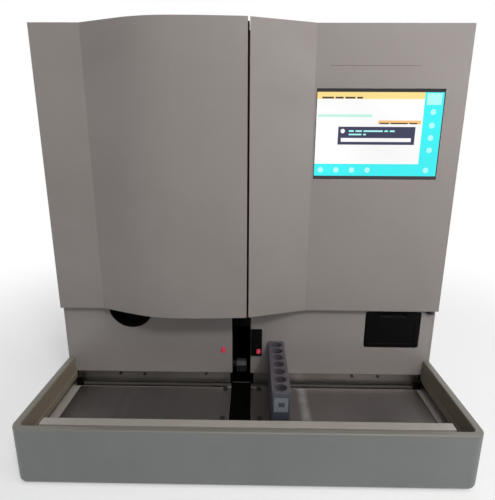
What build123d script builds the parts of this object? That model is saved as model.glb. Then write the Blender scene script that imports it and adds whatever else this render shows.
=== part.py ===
from build123d import *
import math
import os

# Bench urine analyzer. Units are millimetres. X runs to the right as the user faces the front,
# the front faces -Y, and Z is up from the bench. The origin lies under the middle of the body.

# --- Driving dimensions: casing ---
WIDTH = 600.0  # over the side panels and the tray
HALF = WIDTH / 2
FOOT_H = 8.0  # the case stands this far off the bench
TOP = 591.0
BACK = 306.0  # rearmost surface, the flange of the mains inlet
TRAY_FRONT = -306.0
DOOR_FRONT = -134.0  # flat part of the doors
WALL_FRONT = -124.0  # lower front wall, set back under the doors
SKIN = 3.0  # moulded and sheet covers
REAR_FACE = 304.5  # outer face of the rear panel
DOOR_BOTTOM = 179.0
DOOR_BACK = -120.0  # rear edge of the doors' side returns
PANEL_FRONT = -115.0  # front edge of the side panels beside the doors
PARTING = 1.5  # half of the gap between the two doors
PARTING_X = -1.0

# --- Driving dimensions: sample tray ---
RIM = 87.0  # top of the tray's rim
RIM_SIDE = 10.0  # width of the rim at the sides
RIM_FRONT = 9.0
TRAY_CORNER = 14.0
TRAY_FOOT = 3.0  # the tray's skirt comes this close to the bench
TRAY_EDGE = 8.0  # radius along the skirt's lower edge
FLANGE = 14.0  # from the outer wall in to the raised flange that carries the pan
SKIRT_BOTTOM = 48.0  # the rim's inner skin hangs down to here
BEAD_Z = (51.0, 60.0)
BEAD = 1.2  # how far the bead stands out of the inner skin
FLOOR = 38.0  # level of the two steel plates
FLOOR_T = 3.0
FLOOR_GAP = 0.5  # round the floor moulding, inside the surround
LEDGE_X = 266.0  # half length of the ledge along the front
LEDGE_Y = (-295.3, -282.0)
FINGER_SLOTS = ((-268.0, -261.0), (-132.4, -125.6))
FINGER_REACH = (36.0, 290.0)
RIB_X = (290.3, 292.3)  # outer ribs, which hold the pushers' rods
PLATE_T = 1.5
PLATE_EDGE = 281.0
PLATE_FRONT = -260.0
PLATE_BACK = -133.5
LANE_L = -27.5  # the rack lane between the plates
LANE_R = 4.5
SLOT_L = -26.5  # the slot in the wall that the lane runs into
SLOT_R = 4.0
SLOT_TOP = 165.0
WALL_BOTTOM = 61.0
WALL_TOP = 178.0
PAN = 11.0  # underside of the base pan
PAN_T = 2.0

# --- Driving dimensions: doors ---
HOOD_AXIS_Y = -40.0
HOOD_AXIS_Z = 585.0
HOOD_EDGE = -44.0  # rear edge of the hood's top
ROOF_EDGE = -31.0  # front edge of the roof behind the hood
DOOR_AXIS_X = 292.0
DOOR_AXIS_Y = -127.0
BOW = 36.7  # how far the hood's bow stands out of the flat front
DOOR_BOW = 30.5
CREASE = 90.0  # the right door is flat from here to its hinge
DISPLAY_X = (93.0, 270.6)
DISPLAY_Z = (385.0, 509.0)

# --- Driving dimensions: drawer, cup and racks ---
BIN_X = (190.2, 277.2)
BIN_Z = (110.6, 173.0)
BIN_DEPTH = 160.0
CUP_X = -190.0
CUP_R = 36.0
CUP_DEPTH = 24.0
RACK_X = (33.0, 58.0)
RACK_Y = (-269.0, -125.0)
RACK_H = 82.0
RACK_PITCH = 20.0
RACK_POCKETS = 7
TUBE_R = 8.3
FINGER_X = (278.0, 288.0)  # the pusher fingers at rest, in the tray's outer corners
FINGER_FRONT = (-266.5, -262.5)
FINGER_REAR = (-131.0, -127.0)
FINGER_TOP = 52.0
ROD_Y = -200.0
ROD_Z = 22.0
ROD_R = 3.0
ROD_X = -42.0  # the puller's rod, beside the tunnel
ROD_LEVEL = 74.0
RUNNING = 0.05  # radial clearance of running fits

# --- Driving dimensions: structure and works ---
FRAME_X = (290.0, 293.0)
FRAME_Y = (-104.0, 298.0)
DECK = 190.0  # top of the instrument deck
DECK_T = 3.0
BEAM_TOP = 568.0
PULLEY_X = (-46.0, -38.0)
PULLEY_R = 8.0
PULLEY_Z = 50.0
PULLEY_Y = (-90.0, 90.0)  # idler, drive
BELT_T = 1.4
DRUM_X = -185.0
DRUM_Z = 250.0
DRUM_R = 30.0
DRUM_Y = (-66.0, 26.0)
STRIP_TOP = 232.0  # running surface of the strip conveyor
STRIP_PITCH = 18.0
NEEDLE_X = -10.0
NEEDLE_Y = -20.0
LID_AXIS_Y = 40.0
LID_AXIS_Z = 364.0
SYRINGE_X = 110.0
SYRINGE_Y = 150.0
FAN_X = -160.0
FAN_Z = 420.0
FAN_R = 43.0
INLET_X = (-272.0, -242.0)
INLET_Z = (50.0, 98.0)


# --- Helpers ---
def box(x, y, z):
    """A block from three (low, high) pairs."""
    middle = Pos((x[0] + x[1]) / 2, (y[0] + y[1]) / 2, (z[0] + z[1]) / 2)
    return middle * Box(x[1] - x[0], y[1] - y[0], z[1] - z[0])


def rod_x(radius, x, y, z):
    return Pos((x[0] + x[1]) / 2, y, z) * Rot(0, 90, 0) * Cylinder(radius, x[1] - x[0])


def rod_y(radius, y, x, z):
    return Pos(x, (y[0] + y[1]) / 2, z) * Rot(90, 0, 0) * Cylinder(radius, y[1] - y[0])


def rod_z(radius, z, x, y):
    return Pos(x, y, (z[0] + z[1]) / 2) * Cylinder(radius, z[1] - z[0])


def prism_x(sketch, x):
    """Extrude a sketch drawn in Y and Z over the (low, high) pair x."""
    return extrude(Plane((x[0], 0, 0), x_dir=(0, 1, 0), z_dir=(1, 0, 0)) * sketch, x[1] - x[0])


def prism_y(sketch, y):
    """Extrude a sketch drawn in X and Z over the (low, high) pair y."""
    return extrude(Plane((0, y[0], 0), x_dir=(1, 0, 0), z_dir=(0, -1, 0)) * sketch, y[0] - y[1])


def prism_z(sketch, z, taper=0.0):
    """Extrude a sketch drawn in X and Y over the (low, high) pair z."""
    return extrude(Plane.XY.offset(z[0]) * sketch, z[1] - z[0], taper=taper)


def poly(*points):
    return Polygon(*points, align=None)


def rect(a, b, radius=0.0):
    """A rectangle from two (low, high) pairs, with rounded corners where a radius is given."""
    place = Pos((a[0] + a[1]) / 2, (b[0] + b[1]) / 2)
    if radius:
        return place * RectangleRounded(a[1] - a[0], b[1] - b[0], radius)
    return place * Rectangle(a[1] - a[0], b[1] - b[0])


def disc(a, b, radius):
    return Pos(a, b) * Circle(radius)


def hull(*sketches):
    """The outline stretched round several sketches."""
    edges = []
    for sketch in sketches:
        edges += sketch.edges()
    return make_hull(edges)


def group(shapes):
    return Compound(children=list(shapes))


def save(name, shape):
    export_step(shape, f"parts/{name}.step")


# --- Base and sample tray ---
def rubber_feet():
    """Four round feet with a chamfered sole."""
    feet = []
    for x in (-238.0, 238.0):
        for y in (-252.0, 262.0):
            foot = rod_z(17.0, (0.0, PAN), x, y)
            feet.append(chamfer(foot.edges().group_by(Axis.Z)[0], 2.0))
    return group(feet)


def base_pan():
    """Sheet pan under the tray and the body, with a turned-up rear edge."""
    tray_part = rect((-272.0, 272.0), (-276.0, -110.0), 8.0)
    body_part = rect((-296.5, 296.5), (-116.0, 300.0))
    pan = prism_z(tray_part + body_part, (PAN, PAN + PAN_T))
    lip = box((-288.0, 288.0), (298.5, 300.0), (PAN, 40.0))
    vents = [box((x, x + 6.0), (200.0, 250.0), (0.0, 20.0)) for x in range(-40, 60, 14)]
    return pan + lip - vents


def tray_block(inset, z):
    """Upright block with the tray's rounded front corners, running on behind the wall."""
    side = HALF - inset
    return prism_z(rect((-side, side), (TRAY_FRONT + inset, 200.0), TRAY_CORNER - inset), z)


def rim_ring(inset, z):
    """Block that fills the tray's mouth, or more where inset is below zero."""
    side = HALF - RIM_SIDE - inset
    return prism_z(rect((-side, side), (TRAY_FRONT + RIM_FRONT + inset, 0.0), 6.0 - inset), z)


def tray_surround():
    """Moulded surround: upright wall, rim, beaded inner skin and a stepped flange at its foot."""
    lip = FOOT_H + SKIN
    outer = tray_block(0.0, (TRAY_FOOT, RIM))
    outer = fillet(outer.edges().group_by(Axis.Z)[0], TRAY_EDGE)
    trough = tray_block(SKIN, (TRAY_FOOT + SKIN, RIM - SKIN))
    trough = chamfer(trough.edges().group_by(Axis.Z)[0], 3.0)
    inner_skin = rim_ring(-SKIN, (SKIRT_BOTTOM, RIM)) - rim_ring(0.0, (0.0, RIM + 1.0))
    bead = rim_ring(-0.5, BEAD_Z) - rim_ring(BEAD, (0.0, RIM))
    flange = tray_block(FLANGE - SKIN, (TRAY_FOOT, lip)) - tray_block(FLANGE, (0.0, FOOT_H))
    flange -= box((-268.0, 268.0), (-272.0, 300.0), (0.0, 20.0))
    body = outer - trough - tray_block(FLANGE, (0.0, FOOT_H)) - rim_ring(0.0, (RIM - 10.0, RIM + 1.0))
    body = body + inner_skin + bead + flange
    body = body & box((-HALF, HALF), (TRAY_FRONT, WALL_FRONT), (0.0, RIM))
    rim_edges = body.edges().filter_by_position(Axis.Z, RIM - 0.01, RIM + 0.01)
    rim_edges = [e for e in rim_edges if e.center().Y < WALL_FRONT - 1.0]
    return fillet(rim_edges, 2.0)


def tray_floor():
    """Moulded floor with pockets for the plates, finger slots, ribs and a ledge along the front."""
    gap = SKIN + FLOOR_GAP
    plate = tray_block(gap, (FLOOR - FLOOR_T, FLOOR))
    plate = plate & box((-HALF, HALF), (TRAY_FRONT, -119.0), (0.0, RIM))
    plate += box((-LEDGE_X, LEDGE_X), LEDGE_Y, (FLOOR - FLOOR_T, RIM))
    ledge_hollow = box((-LEDGE_X + SKIN, LEDGE_X - SKIN), (LEDGE_Y[0] + SKIN, LEDGE_Y[1] - SKIN),
                       (0.0, RIM - SKIN))
    plate -= ledge_hollow
    plate -= box((LANE_L - 0.5, LANE_R + 0.5), (-272.5, 0.0), (0.0, 50.0))
    for side in (-1, 1):
        inner = LANE_R + 0.5 if side > 0 else LANE_L - 0.5
        span = sorted((side * (PLATE_EDGE + 0.3), inner))
        plate -= box(span, (PLATE_FRONT - 0.3, PLATE_BACK + 0.3), (FLOOR - PLATE_T, 60.0))
        run = sorted((side * FINGER_REACH[0], side * FINGER_REACH[1]))
        for slot in FINGER_SLOTS:
            plate -= box(run, slot, (0.0, 60.0))
    ribs = (PAN + PAN_T, FLOOR - FLOOR_T)
    for x in ((-RIB_X[1], -RIB_X[0]), (-34.0, -31.0), (8.0, 11.0), RIB_X):
        plate += box(x, (-276.0, -119.0), ribs)
    for x in ((-RIB_X[0], -34.0), (11.0, RIB_X[0])):
        plate += box(x, (-276.0, -273.0), (20.0, ribs[1]))
    return plate


def tray_plate(side):
    """One flat steel plate beside the lane, with its edges broken."""
    inner = LANE_R + 0.8 if side > 0 else LANE_L - 0.8
    x = sorted((side * PLATE_EDGE, inner))
    plate = prism_z(rect(x, (PLATE_FRONT, PLATE_BACK), 2.0), (FLOOR - PLATE_T, FLOOR))
    return chamfer(plate.edges().group_by(Axis.Z)[-1], 0.3)


def rear_rails():
    """Steel strips behind the tray, with the threshold across the lane."""
    left = box((-288.0, -30.0), (-121.0, -119.5), (40.0, 80.0))
    right = box((9.0, 288.0), (-121.0, -119.5), (40.0, 80.0))
    threshold = box((LANE_L + 1.0, LANE_R - 1.0), (-118.0, -115.5), (37.8, 38.6))
    return group([left, right, threshold])


def tray_screws():
    """Hexagon-head screws in the rails, and the four dark posts beside the lane."""
    screws = []
    for x, z in ((-216.0, 56.0), (-175.0, 55.0), (-71.0, 57.0), (175.0, 55.0), (219.0, 55.0)):
        screws.append(prism_y(Pos(x, z) * RegularPolygon(2.8, 6), (-122.8, -121.0)))
    for x, y in ((-37.0, -138.0), (18.0, -138.0), (-37.0, -216.0), (18.0, -216.0)):
        screws.append(rod_z(3.6, (FLOOR, FLOOR + 4.0), x, y))
    return group(screws)


def rack_pusher(side):
    """Bar under the floor, running on a rod, with two fingers up through the slots."""
    x = sorted((side * FINGER_X[0], side * FINGER_X[1]))
    block_x = sorted((side * (FINGER_X[0] - 6.0), side * FINGER_X[1]))
    bar = box(x, (FINGER_FRONT[0], FINGER_REAR[1]), (20.0, 30.0))
    block = box(block_x, (ROD_Y - 10.0, ROD_Y + 10.0), (15.0, 30.0))
    body = bar + block
    for y in (FINGER_FRONT, FINGER_REAR):
        finger = prism_y(rect(x, (25.0, FINGER_TOP), 1.9), y)
        body += finger
    return body - rod_x(ROD_R + RUNNING, (-400.0, 400.0), ROD_Y, ROD_Z)


def guide_rods():
    """Round rods for the two pushers and the rack puller."""
    rods = [rod_x(ROD_R, x, ROD_Y, ROD_Z) for x in ((-RIB_X[0], -34.0), (11.0, RIB_X[0]))]
    rods.append(rod_y(ROD_R, (-119.0, 100.0), ROD_X, ROD_LEVEL))
    return group(rods)


# --- Rack lane, tunnel and puller ---
def lane_bed():
    """Black lane with lengthwise ribs that the rack slides on."""
    bed = box((LANE_L, LANE_R), (-272.0, 108.0), (31.0, 35.6))
    for i in range(5):
        x = LANE_L + 4.0 + i * 6.0 - 0.9
        bed += box((x, x + 1.8), (-272.0, 108.0), (35.6, 37.8))
    for y in (-270.0, -140.0, 0.0, 96.0):
        bed += box((LANE_L + 6.0, LANE_R - 6.0), (y, y + 6.0), (PAN + PAN_T, 31.0))
    return bed


def rack_tunnel():
    """Black tunnel over the lane behind the slot, open on top for the probe."""
    outer = rect((SLOT_L - 2.0, SLOT_R + 2.0), (38.5, SLOT_TOP + 1.5))
    inner = rect((SLOT_L - 0.4, SLOT_R + 0.4), (30.0, SLOT_TOP))
    shell = prism_y(outer - inner, (-120.9, 100.0))
    shell -= box((SLOT_L + 3.0, SLOT_R - 3.0), (-45.0, 5.0), (150.0, 180.0))
    shell -= box((-40.0, -20.0), (-112.0, 60.0), (59.0, 71.0))
    for y in (-96.0, 84.0):
        shell += box((LANE_L - 5.5, LANE_L - 0.3), (y, y + 8.0), (PAN + PAN_T, 40.0))
        shell += box((LANE_R + 0.3, LANE_R + 5.5), (y, y + 8.0), (PAN + PAN_T, 40.0))
    for y in ((-119.0, -111.0), (92.0, 100.0)):
        ear = prism_y(rect((ROD_X - 8.0, SLOT_L - 1.0), (ROD_LEVEL - 8.0, ROD_LEVEL + 8.0), 2.0), y)
        shell += ear - rod_y(ROD_R, (y[0] - 1.0, y[1] + 1.0), ROD_X, ROD_LEVEL)
    return shell


def rack_puller():
    """Hook that draws the rack in: block in the tunnel, arm and rod bearing beside it."""
    hook = prism_x(poly((-113.0, 56.0), (-99.0, 56.0), (-99.0, 74.0), (-108.0, 74.0), (-113.0, 68.0)),
                   (-20.0, -3.0))
    arm = box((ROD_X, -19.0), (-106.0, -99.0), (61.0, 69.0))
    bearing = prism_y(rect((ROD_X - 6.0, ROD_X + 6.0), (60.0, ROD_LEVEL + 6.0), 2.0), (-106.0, -86.0))
    return hook + arm + bearing - rod_y(ROD_R + RUNNING, (-107.0, -85.0), ROD_X, ROD_LEVEL)


def puller_belt():
    """Toothed-belt loop beside the tunnel, drawn with a smooth back."""
    def stadium(radius):
        return hull(disc(PULLEY_Y[0], PULLEY_Z, radius), disc(PULLEY_Y[1], PULLEY_Z, radius))
    inner = PULLEY_R + 0.3
    return prism_x(stadium(inner + BELT_T) - stadium(inner), (PULLEY_X[0] + 1.0, PULLEY_X[1] - 1.0))


def pulley(y):
    """Toothed pulley with two flanges and its own shaft."""
    grooves = 16
    profile = RegularPolygon(PULLEY_R, 2 * grooves)
    for i in range(grooves):
        profile -= Rot(0, 0, 360.0 / grooves * i) * Pos(PULLEY_R, 0) * Rectangle(1.6, 1.3)
    wheel = prism_x(Pos(y, PULLEY_Z) * profile, PULLEY_X)
    for x in ((PULLEY_X[0] - 1.0, PULLEY_X[0] + 0.6), (PULLEY_X[1] - 0.6, PULLEY_X[1] + 1.0)):
        wheel += prism_x(disc(y, PULLEY_Z, PULLEY_R - 0.2), x)
    return wheel + prism_x(disc(y, PULLEY_Z, 2.5), (PULLEY_X[0] - 8.0, PULLEY_X[1] + 6.0))


def puller_motor():
    """Square stepper motor on a folded foot, with the idler's bearing block."""
    y = PULLEY_Y[1]
    case = prism_x(rect((y - 17.5, y + 17.5), (PULLEY_Z - 17.5, PULLEY_Z + 17.5), 4.0), (-96.0, -62.0))
    boss = prism_x(disc(y, PULLEY_Z, 9.0), (-62.0, -58.0))
    foot = box((-62.0, -60.0), (y - 17.5, y + 17.5), (PAN + PAN_T, PULLEY_Z + 17.5))
    foot += box((-96.0, -62.0), (y - 17.5, y + 17.5), (PAN + PAN_T, PAN + PAN_T + 2.0))
    shaft_hole = rod_x(2.5 + RUNNING, (-60.0, -40.0), y, PULLEY_Z)
    motor = case + boss + foot - shaft_hole
    block = box((-62.0, -50.0), (PULLEY_Y[0] - 7.0, PULLEY_Y[0] + 7.0), (PAN + PAN_T, PULLEY_Z + 8.0))
    block -= rod_x(2.5 + RUNNING, (-59.0, -40.0), PULLEY_Y[0], PULLEY_Z)
    return group([motor, block])


def sample_rack():
    """Tube rack: seven round pockets with side windows and a blank end plate."""
    top = FLOOR + RACK_H
    body = prism_z(rect(RACK_X, RACK_Y, 2.5), (FLOOR, top))
    middle = sum(RACK_X) / 2
    start = (RACK_Y[0] + RACK_Y[1]) / 2 - RACK_PITCH * (RACK_POCKETS - 1) / 2
    for i in range(RACK_POCKETS):
        y = start + i * RACK_PITCH
        body -= rod_z(TUBE_R, (FLOOR + 8.0, top + 1.0), middle, y)
        body -= prism_x(rect((y - 4.5, y + 4.5), (FLOOR + 16.0, top - 12.0)), (0.0, 100.0))
    body -= box((RACK_X[0] + 3.0, RACK_X[1] - 3.0), (RACK_Y[0] + 8.0, RACK_Y[1] - 8.0), (0.0, FLOOR + 4.0))
    return body


def barcode_reader():
    """Black reader block beside the slot, with a bezel in front of the wall."""
    bezel = prism_y(rect((4.3, 22.5), (94.0, 141.0), 1.0), (-126.5, WALL_FRONT))
    case = box((7.0, 22.0), (WALL_FRONT, -92.0), (96.0, 139.0))
    window = prism_y(rect((8.0, 19.0), (112.0, 136.0), 1.0), (-130.0, -125.6))
    lamp = prism_y(rect((13.8, 20.2), (97.8, 106.2)), (-130.0, -123.0))
    return bezel + case - window - lamp


def slot_lamps():
    """Two red indicator lenses, one each side of the slot."""
    left = prism_y(rect((-44.0, -38.0), (98.5, 107.5), 1.5), (-125.6, -119.0))
    right = prism_y(rect((14.0, 20.0), (98.0, 106.0), 1.5), (-127.6, -123.0))
    return group([left, right])


# --- Casing ---
def lower_front_wall():
    """Cream wall under the doors with its cut-outs and a turned-back top edge."""
    wall = prism_y(rect((-HALF + SKIN + 0.2, HALF - SKIN - 0.2), (WALL_BOTTOM, WALL_TOP)),
                   (WALL_FRONT, WALL_FRONT + SKIN))
    wall += box((-288.0, 288.0), (WALL_FRONT, -104.5), (WALL_TOP - SKIN, WALL_TOP))
    cuts = rect((SLOT_L, SLOT_R), (50.0, SLOT_TOP))
    cuts += rect((6.5, 22.2), (95.5, 139.5))
    cuts += rect((-44.3, -37.7), (98.2, 107.8))
    wall -= prism_y(cuts, (WALL_FRONT - 1.0, WALL_FRONT + SKIN + 1.0))
    wall -= prism_y(rect((BIN_X[0] - 1.2, BIN_X[1] + 1.2), (BIN_Z[0] - 1.2, BIN_Z[1] + 1.0), 4.0),
                    (WALL_FRONT - 1.0, WALL_FRONT + SKIN + 1.0))
    cup = disc(CUP_X, WALL_TOP, CUP_R + 0.2)
    return wall - prism_y(cup, (WALL_FRONT - 1.0, -100.0))


def finger_cup():
    """Black half-round recess for the fingers under the hood's lower edge."""
    def half(radius, low):
        return disc(CUP_X, WALL_TOP, radius) & rect((-300.0, -100.0), (0.0, low))
    shell = prism_y(half(CUP_R, WALL_TOP) - half(CUP_R - 1.8, WALL_TOP + 1.0), (WALL_FRONT + 0.4, -102.0))
    return shell + prism_y(half(CUP_R, WALL_TOP), (-102.0, -100.0))


def side_panel(side):
    """Side cover with folded flanges and a block of cooling slots."""
    outline = poly((WALL_FRONT, FOOT_H), (REAR_FACE - SKIN, FOOT_H), (REAR_FACE - SKIN, TOP - SKIN),
                   (PANEL_FRONT, TOP - SKIN), (PANEL_FRONT, WALL_TOP), (WALL_FRONT, WALL_TOP))
    panel = prism_x(outline, sorted((side * HALF, side * (HALF - SKIN))))
    foot = sorted((side * (HALF - SKIN), side * 285.0))
    panel += box(foot, (-110.0, 296.0), (FOOT_H, FOOT_H + SKIN))
    for i in range(9):
        z = 400.0 + i * 12.0
        slot = rect((190.0, 260.0), (z, z + 5.0))
        panel -= prism_x(slot, sorted((side * 310.0, side * 290.0)))
    corner = panel.edges().filter_by(Axis.Y).sort_by(Axis.Z)
    corner = [e for e in corner if abs(abs(e.center().X) - HALF) < 0.01 and e.center().Z < FOOT_H + 0.1]
    return fillet(corner, 2.0)


def roof_panel():
    """Roof: set back behind the hood on the left, forward to the door on the right."""
    left = rect((-HALF, HALF), (ROOF_EDGE, REAR_FACE))
    right = rect((PARTING_X + PARTING, HALF), (PANEL_FRONT, REAR_FACE))
    roof = prism_z(left + right, (TOP - SKIN, TOP))
    edges = [e for e in roof.edges().group_by(Axis.Z)[-1]
             if abs(e.center().X) > HALF - 0.1 or e.center().Y > REAR_FACE - 0.1]
    roof = fillet(edges, 2.4)
    for x in ((-289.5, -287.5), (287.5, 289.5)):
        roof += box(x, (-20.0, 292.0), (BEAM_TOP + 4.0, TOP - SKIN))
    return roof


def rear_panel():
    """Rear cover with the fan's slots, louvres and the cut-out for the mains inlet."""
    panel = prism_y(rect((-HALF + 0.4, HALF - 0.4), (FOOT_H, TOP - SKIN - 0.2)),
                    (REAR_FACE - SKIN, REAR_FACE))
    holes = []
    for i in range(-5, 6):
        z = FAN_Z + i * 7.4
        reach = math.sqrt((FAN_R - 1.0) ** 2 - (i * 7.4) ** 2)
        holes.append(rect((FAN_X - reach, FAN_X + reach), (z - 2.2, z + 2.2)))
    for i in range(10):
        z = 60.0 + i * 9.0
        holes.append(rect((120.0, 240.0), (z, z + 4.0)))
    holes.append(rect((INLET_X[0] + 2.0, INLET_X[1] - 2.0), (INLET_Z[0] + 4.0, INLET_Z[1] - 4.0)))
    holes.append(rect((40.0, 80.0), (60.0, 84.0), 2.0))
    return panel - prism_y(Sketch() + holes, (REAR_FACE - SKIN - 1.0, REAR_FACE + 1.0))


def frame(side):
    """Side frame plate with lightening windows and a folded foot."""
    x = sorted((side * FRAME_X[0], side * FRAME_X[1]))
    outline = rect(FRAME_Y, (PAN + PAN_T, BEAM_TOP + 2.0), 4.0)
    plate = prism_x(outline, x)
    for y, z in (((-80.0, 70.0), (215.0, 520.0)), ((100.0, 270.0), (215.0, 370.0)),
                 ((100.0, 270.0), (395.0, 535.0)), ((-60.0, 120.0), (45.0, 160.0))):
        window = rect(y, z)
        plate -= prism_x(chamfer(window.vertices(), 12.0), x)
    foot = sorted((side * FRAME_X[0], side * 278.0))
    return plate + box(foot, (-90.0, 280.0), (PAN + PAN_T, PAN + PAN_T + 2.0))


def cross_beam():
    """Channel between the frames that carries the hood's hinges."""
    channel = rect((-48.0, -24.0), (BEAM_TOP - 22.0, BEAM_TOP))
    channel -= rect((-45.5, -26.5), (BEAM_TOP - 23.0, BEAM_TOP - 2.5))
    return prism_x(channel, (-FRAME_X[0], FRAME_X[0]))


def centre_post():
    """Post behind the gap between the doors, with a rubber-faced stop rail."""
    post = rect((-12.0, 10.0), (-112.0, -96.0)) - rect((-9.5, 7.5), (-109.5, -90.0))
    body = prism_z(post, (DECK, BEAM_TOP - 22.0))
    body += box((-12.0, 10.0), (-112.0, -26.0), (BEAM_TOP - 24.5, BEAM_TOP - 22.0))
    stop = box((-9.0, 7.0), (-116.0, -112.0), (300.0, 460.0))
    return body + stop


def instrument_deck():
    """Deck that carries the works, with openings over the lane and the drawer."""
    deck = rect((-FRAME_X[0], FRAME_X[0]), (-104.0, 296.0))
    holes = [rect((-17.0, -3.0), (-45.0, 5.0)), rect((-36.0, 32.0), (NEEDLE_Y - 6.0, NEEDLE_Y + 6.0)),
             rect((203.0, 267.0), (-61.0, 21.0)), rect((-60.0, 60.0), (230.0, 280.0))]
    plate = prism_z(deck - holes, (DECK - DECK_T, DECK))
    for x in ((-FRAME_X[0], -FRAME_X[0] + 2.0), (FRAME_X[0] - 2.0, FRAME_X[0])):
        plate += box(x, (-90.0, 280.0), (DECK - 18.0, DECK - DECK_T))
    return plate


# --- Doors ---
def hood_front(inset):
    """Front line of the hood in plan: flat, a ramp, the bow and a shallow run to the gap."""
    y = DOOR_FRONT + inset
    ramp = (-175.0, y - 22.5)
    crown = (-103.0, y - BOW)
    gap = (PARTING_X - PARTING, y - DOOR_BOW - 0.8)
    return [Line((-HALF, y), (-230.0, y)), Line((-230.0, y), ramp),
            ThreePointArc(ramp, (-140.0, y - 33.1), crown),
            ThreePointArc(crown, (-52.0, y - 35.3), gap)]


def door_front(inset):
    """Front line of the right door in plan: a straight slope, a crease and a flat."""
    y = DOOR_FRONT + inset
    gap = (PARTING_X + PARTING, y - DOOR_BOW)
    return [Line(gap, (CREASE, y)), Line((CREASE, y), (HALF, y))]


def door_plan(front, back):
    """Closed plan from a front line and a straight back."""
    start = front[0] @ 0
    end = front[-1] @ 1
    sides = [Line(end, (end.X, back)), Line((end.X, back), (start.X, back)), Line((start.X, back), start)]
    return make_face(front + sides)


def door_shell(front, x_in, back):
    """Open-backed door: skin all round, with the returns cut to the rear edge."""
    outer = prism_z(door_plan(front(0.0), back), (DOOR_BOTTOM, TOP))
    hollow = prism_z(door_plan(front(SKIN), back + 5.0), (DOOR_BOTTOM + SKIN, TOP - SKIN))
    hollow = hollow & box(x_in, (-400.0, 100.0), (0.0, 700.0))
    return outer - hollow


def left_hood():
    """Lift-up hood with its top skin running back to the hinge."""
    inner = (-HALF + SKIN, PARTING_X - PARTING - SKIN)
    shell = door_shell(hood_front, inner, DOOR_BACK)
    shell -= box((-400.0, 100.0), (-126.0, -100.0), (DOOR_BOTTOM - 1.0, DOOR_BOTTOM + SKIN + 0.01))
    shell -= box((PARTING_X - 10.0, 100.0), (-140.0, -100.0), (DOOR_BOTTOM + SKIN, TOP - SKIN))
    shell += box((-HALF, PARTING_X - PARTING), (DOOR_BACK, HOOD_EDGE), (TOP - SKIN, TOP))
    inside = prism_z(door_plan(hood_front(1.0), DOOR_BACK), (DOOR_BOTTOM, TOP))
    for x in (-230.0, -110.0):
        stiffener = box((x, x + 2.0), (DOOR_FRONT - 20.0, -118.0), (DOOR_BOTTOM + SKIN, TOP - SKIN))
        shell += stiffener & inside
    lug = hull(disc(HOOD_AXIS_Y, HOOD_AXIS_Z, 4.9), rect((-64.0, -52.0), (582.0, TOP - SKIN)))
    for x in (-270.0, -40.0):
        shell += prism_x(lug, (x - 2.0, x + 2.0))
        shell -= rod_x(2.0 + RUNNING, (x - 3.0, x + 3.0), HOOD_AXIS_Y, HOOD_AXIS_Z)
    return shell


def right_door():
    """Hinged door with the display's window and bosses for its two pivots."""
    inner = (PARTING_X + PARTING + SKIN, HALF - SKIN)
    shell = door_shell(door_front, inner, DOOR_BACK)
    shell -= box((-100.0, 400.0), (-126.0, -100.0), (DOOR_BOTTOM - 1.0, DOOR_BOTTOM + SKIN + 0.01)) \
        & box((-100.0, 284.0), (-400.0, 0.0), (0.0, 700.0))
    shell -= box((-10.0, PARTING_X + 10.0), (-140.0, -100.0), (DOOR_BOTTOM + SKIN, TOP - SKIN))
    window = rect((DISPLAY_X[0] + 2.0, DISPLAY_X[1] - 2.0), (DISPLAY_Z[0] + 2.0, DISPLAY_Z[1] - 2.0))
    shell -= prism_y(window, (-140.0, -125.0))
    shell -= prism_y(rect(DISPLAY_X, DISPLAY_Z), (-140.0, DOOR_FRONT + 1.2))
    shell -= box((HALF - SKIN - 0.5, 310.0), (-131.0, -100.0), (570.0, TOP - SKIN))
    for z in ((DOOR_BOTTOM, 190.0), (584.6, TOP - 1.0)):
        boss = rod_z(4.9, z, DOOR_AXIS_X, DOOR_AXIS_Y)
        shell += boss & box((0.0, HALF), (DOOR_FRONT, -100.0), (0.0, 700.0))
    shell -= rod_z(2.5 + RUNNING, (DOOR_BOTTOM - 1.0, 188.0), DOOR_AXIS_X, DOOR_AXIS_Y)
    shell -= rod_z(2.5 + RUNNING, (580.0, 589.0), DOOR_AXIS_X, DOOR_AXIS_Y)
    return shell


def hinge_brackets():
    """Two clevises for the hood and two arms for the door."""
    pieces = []
    cheek = hull(disc(HOOD_AXIS_Y, HOOD_AXIS_Z, 4.2), rect((-45.0, -33.0), (BEAM_TOP, BEAM_TOP + 3.0)))
    for x in (-270.0, -40.0):
        clevis = prism_x(cheek, (x - 5.0, x + 5.0))
        clevis -= box((x - 2.4, x + 2.4), (-60.0, -20.0), (BEAM_TOP + 3.0, 600.0))
        clevis -= rod_x(2.0, (x - 6.0, x + 6.0), HOOD_AXIS_Y, HOOD_AXIS_Z)
        pieces.append(clevis)
    low = hull(disc(DOOR_AXIS_X, DOOR_AXIS_Y, 4.5), rect((285.0, 296.5), (WALL_FRONT - 1.0, WALL_FRONT)))
    low = prism_z(low & rect((200.0, 300.0), (-140.0, WALL_FRONT)), (172.0, 178.4))
    pieces.append(low - rod_z(2.5, (170.0, 180.0), DOOR_AXIS_X, DOOR_AXIS_Y))
    arm = hull(disc(DOOR_AXIS_X, DOOR_AXIS_Y, 4.0), rect((286.0, 290.0), (-108.0, -103.0)))
    high = prism_z(arm, (576.0, 584.2)) + box((286.0, 290.0), (-108.0, -60.0), (540.0, 584.2))
    pieces.append(high - rod_z(2.5, (570.0, 590.0), DOOR_AXIS_X, DOOR_AXIS_Y))
    return group(pieces)


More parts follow.
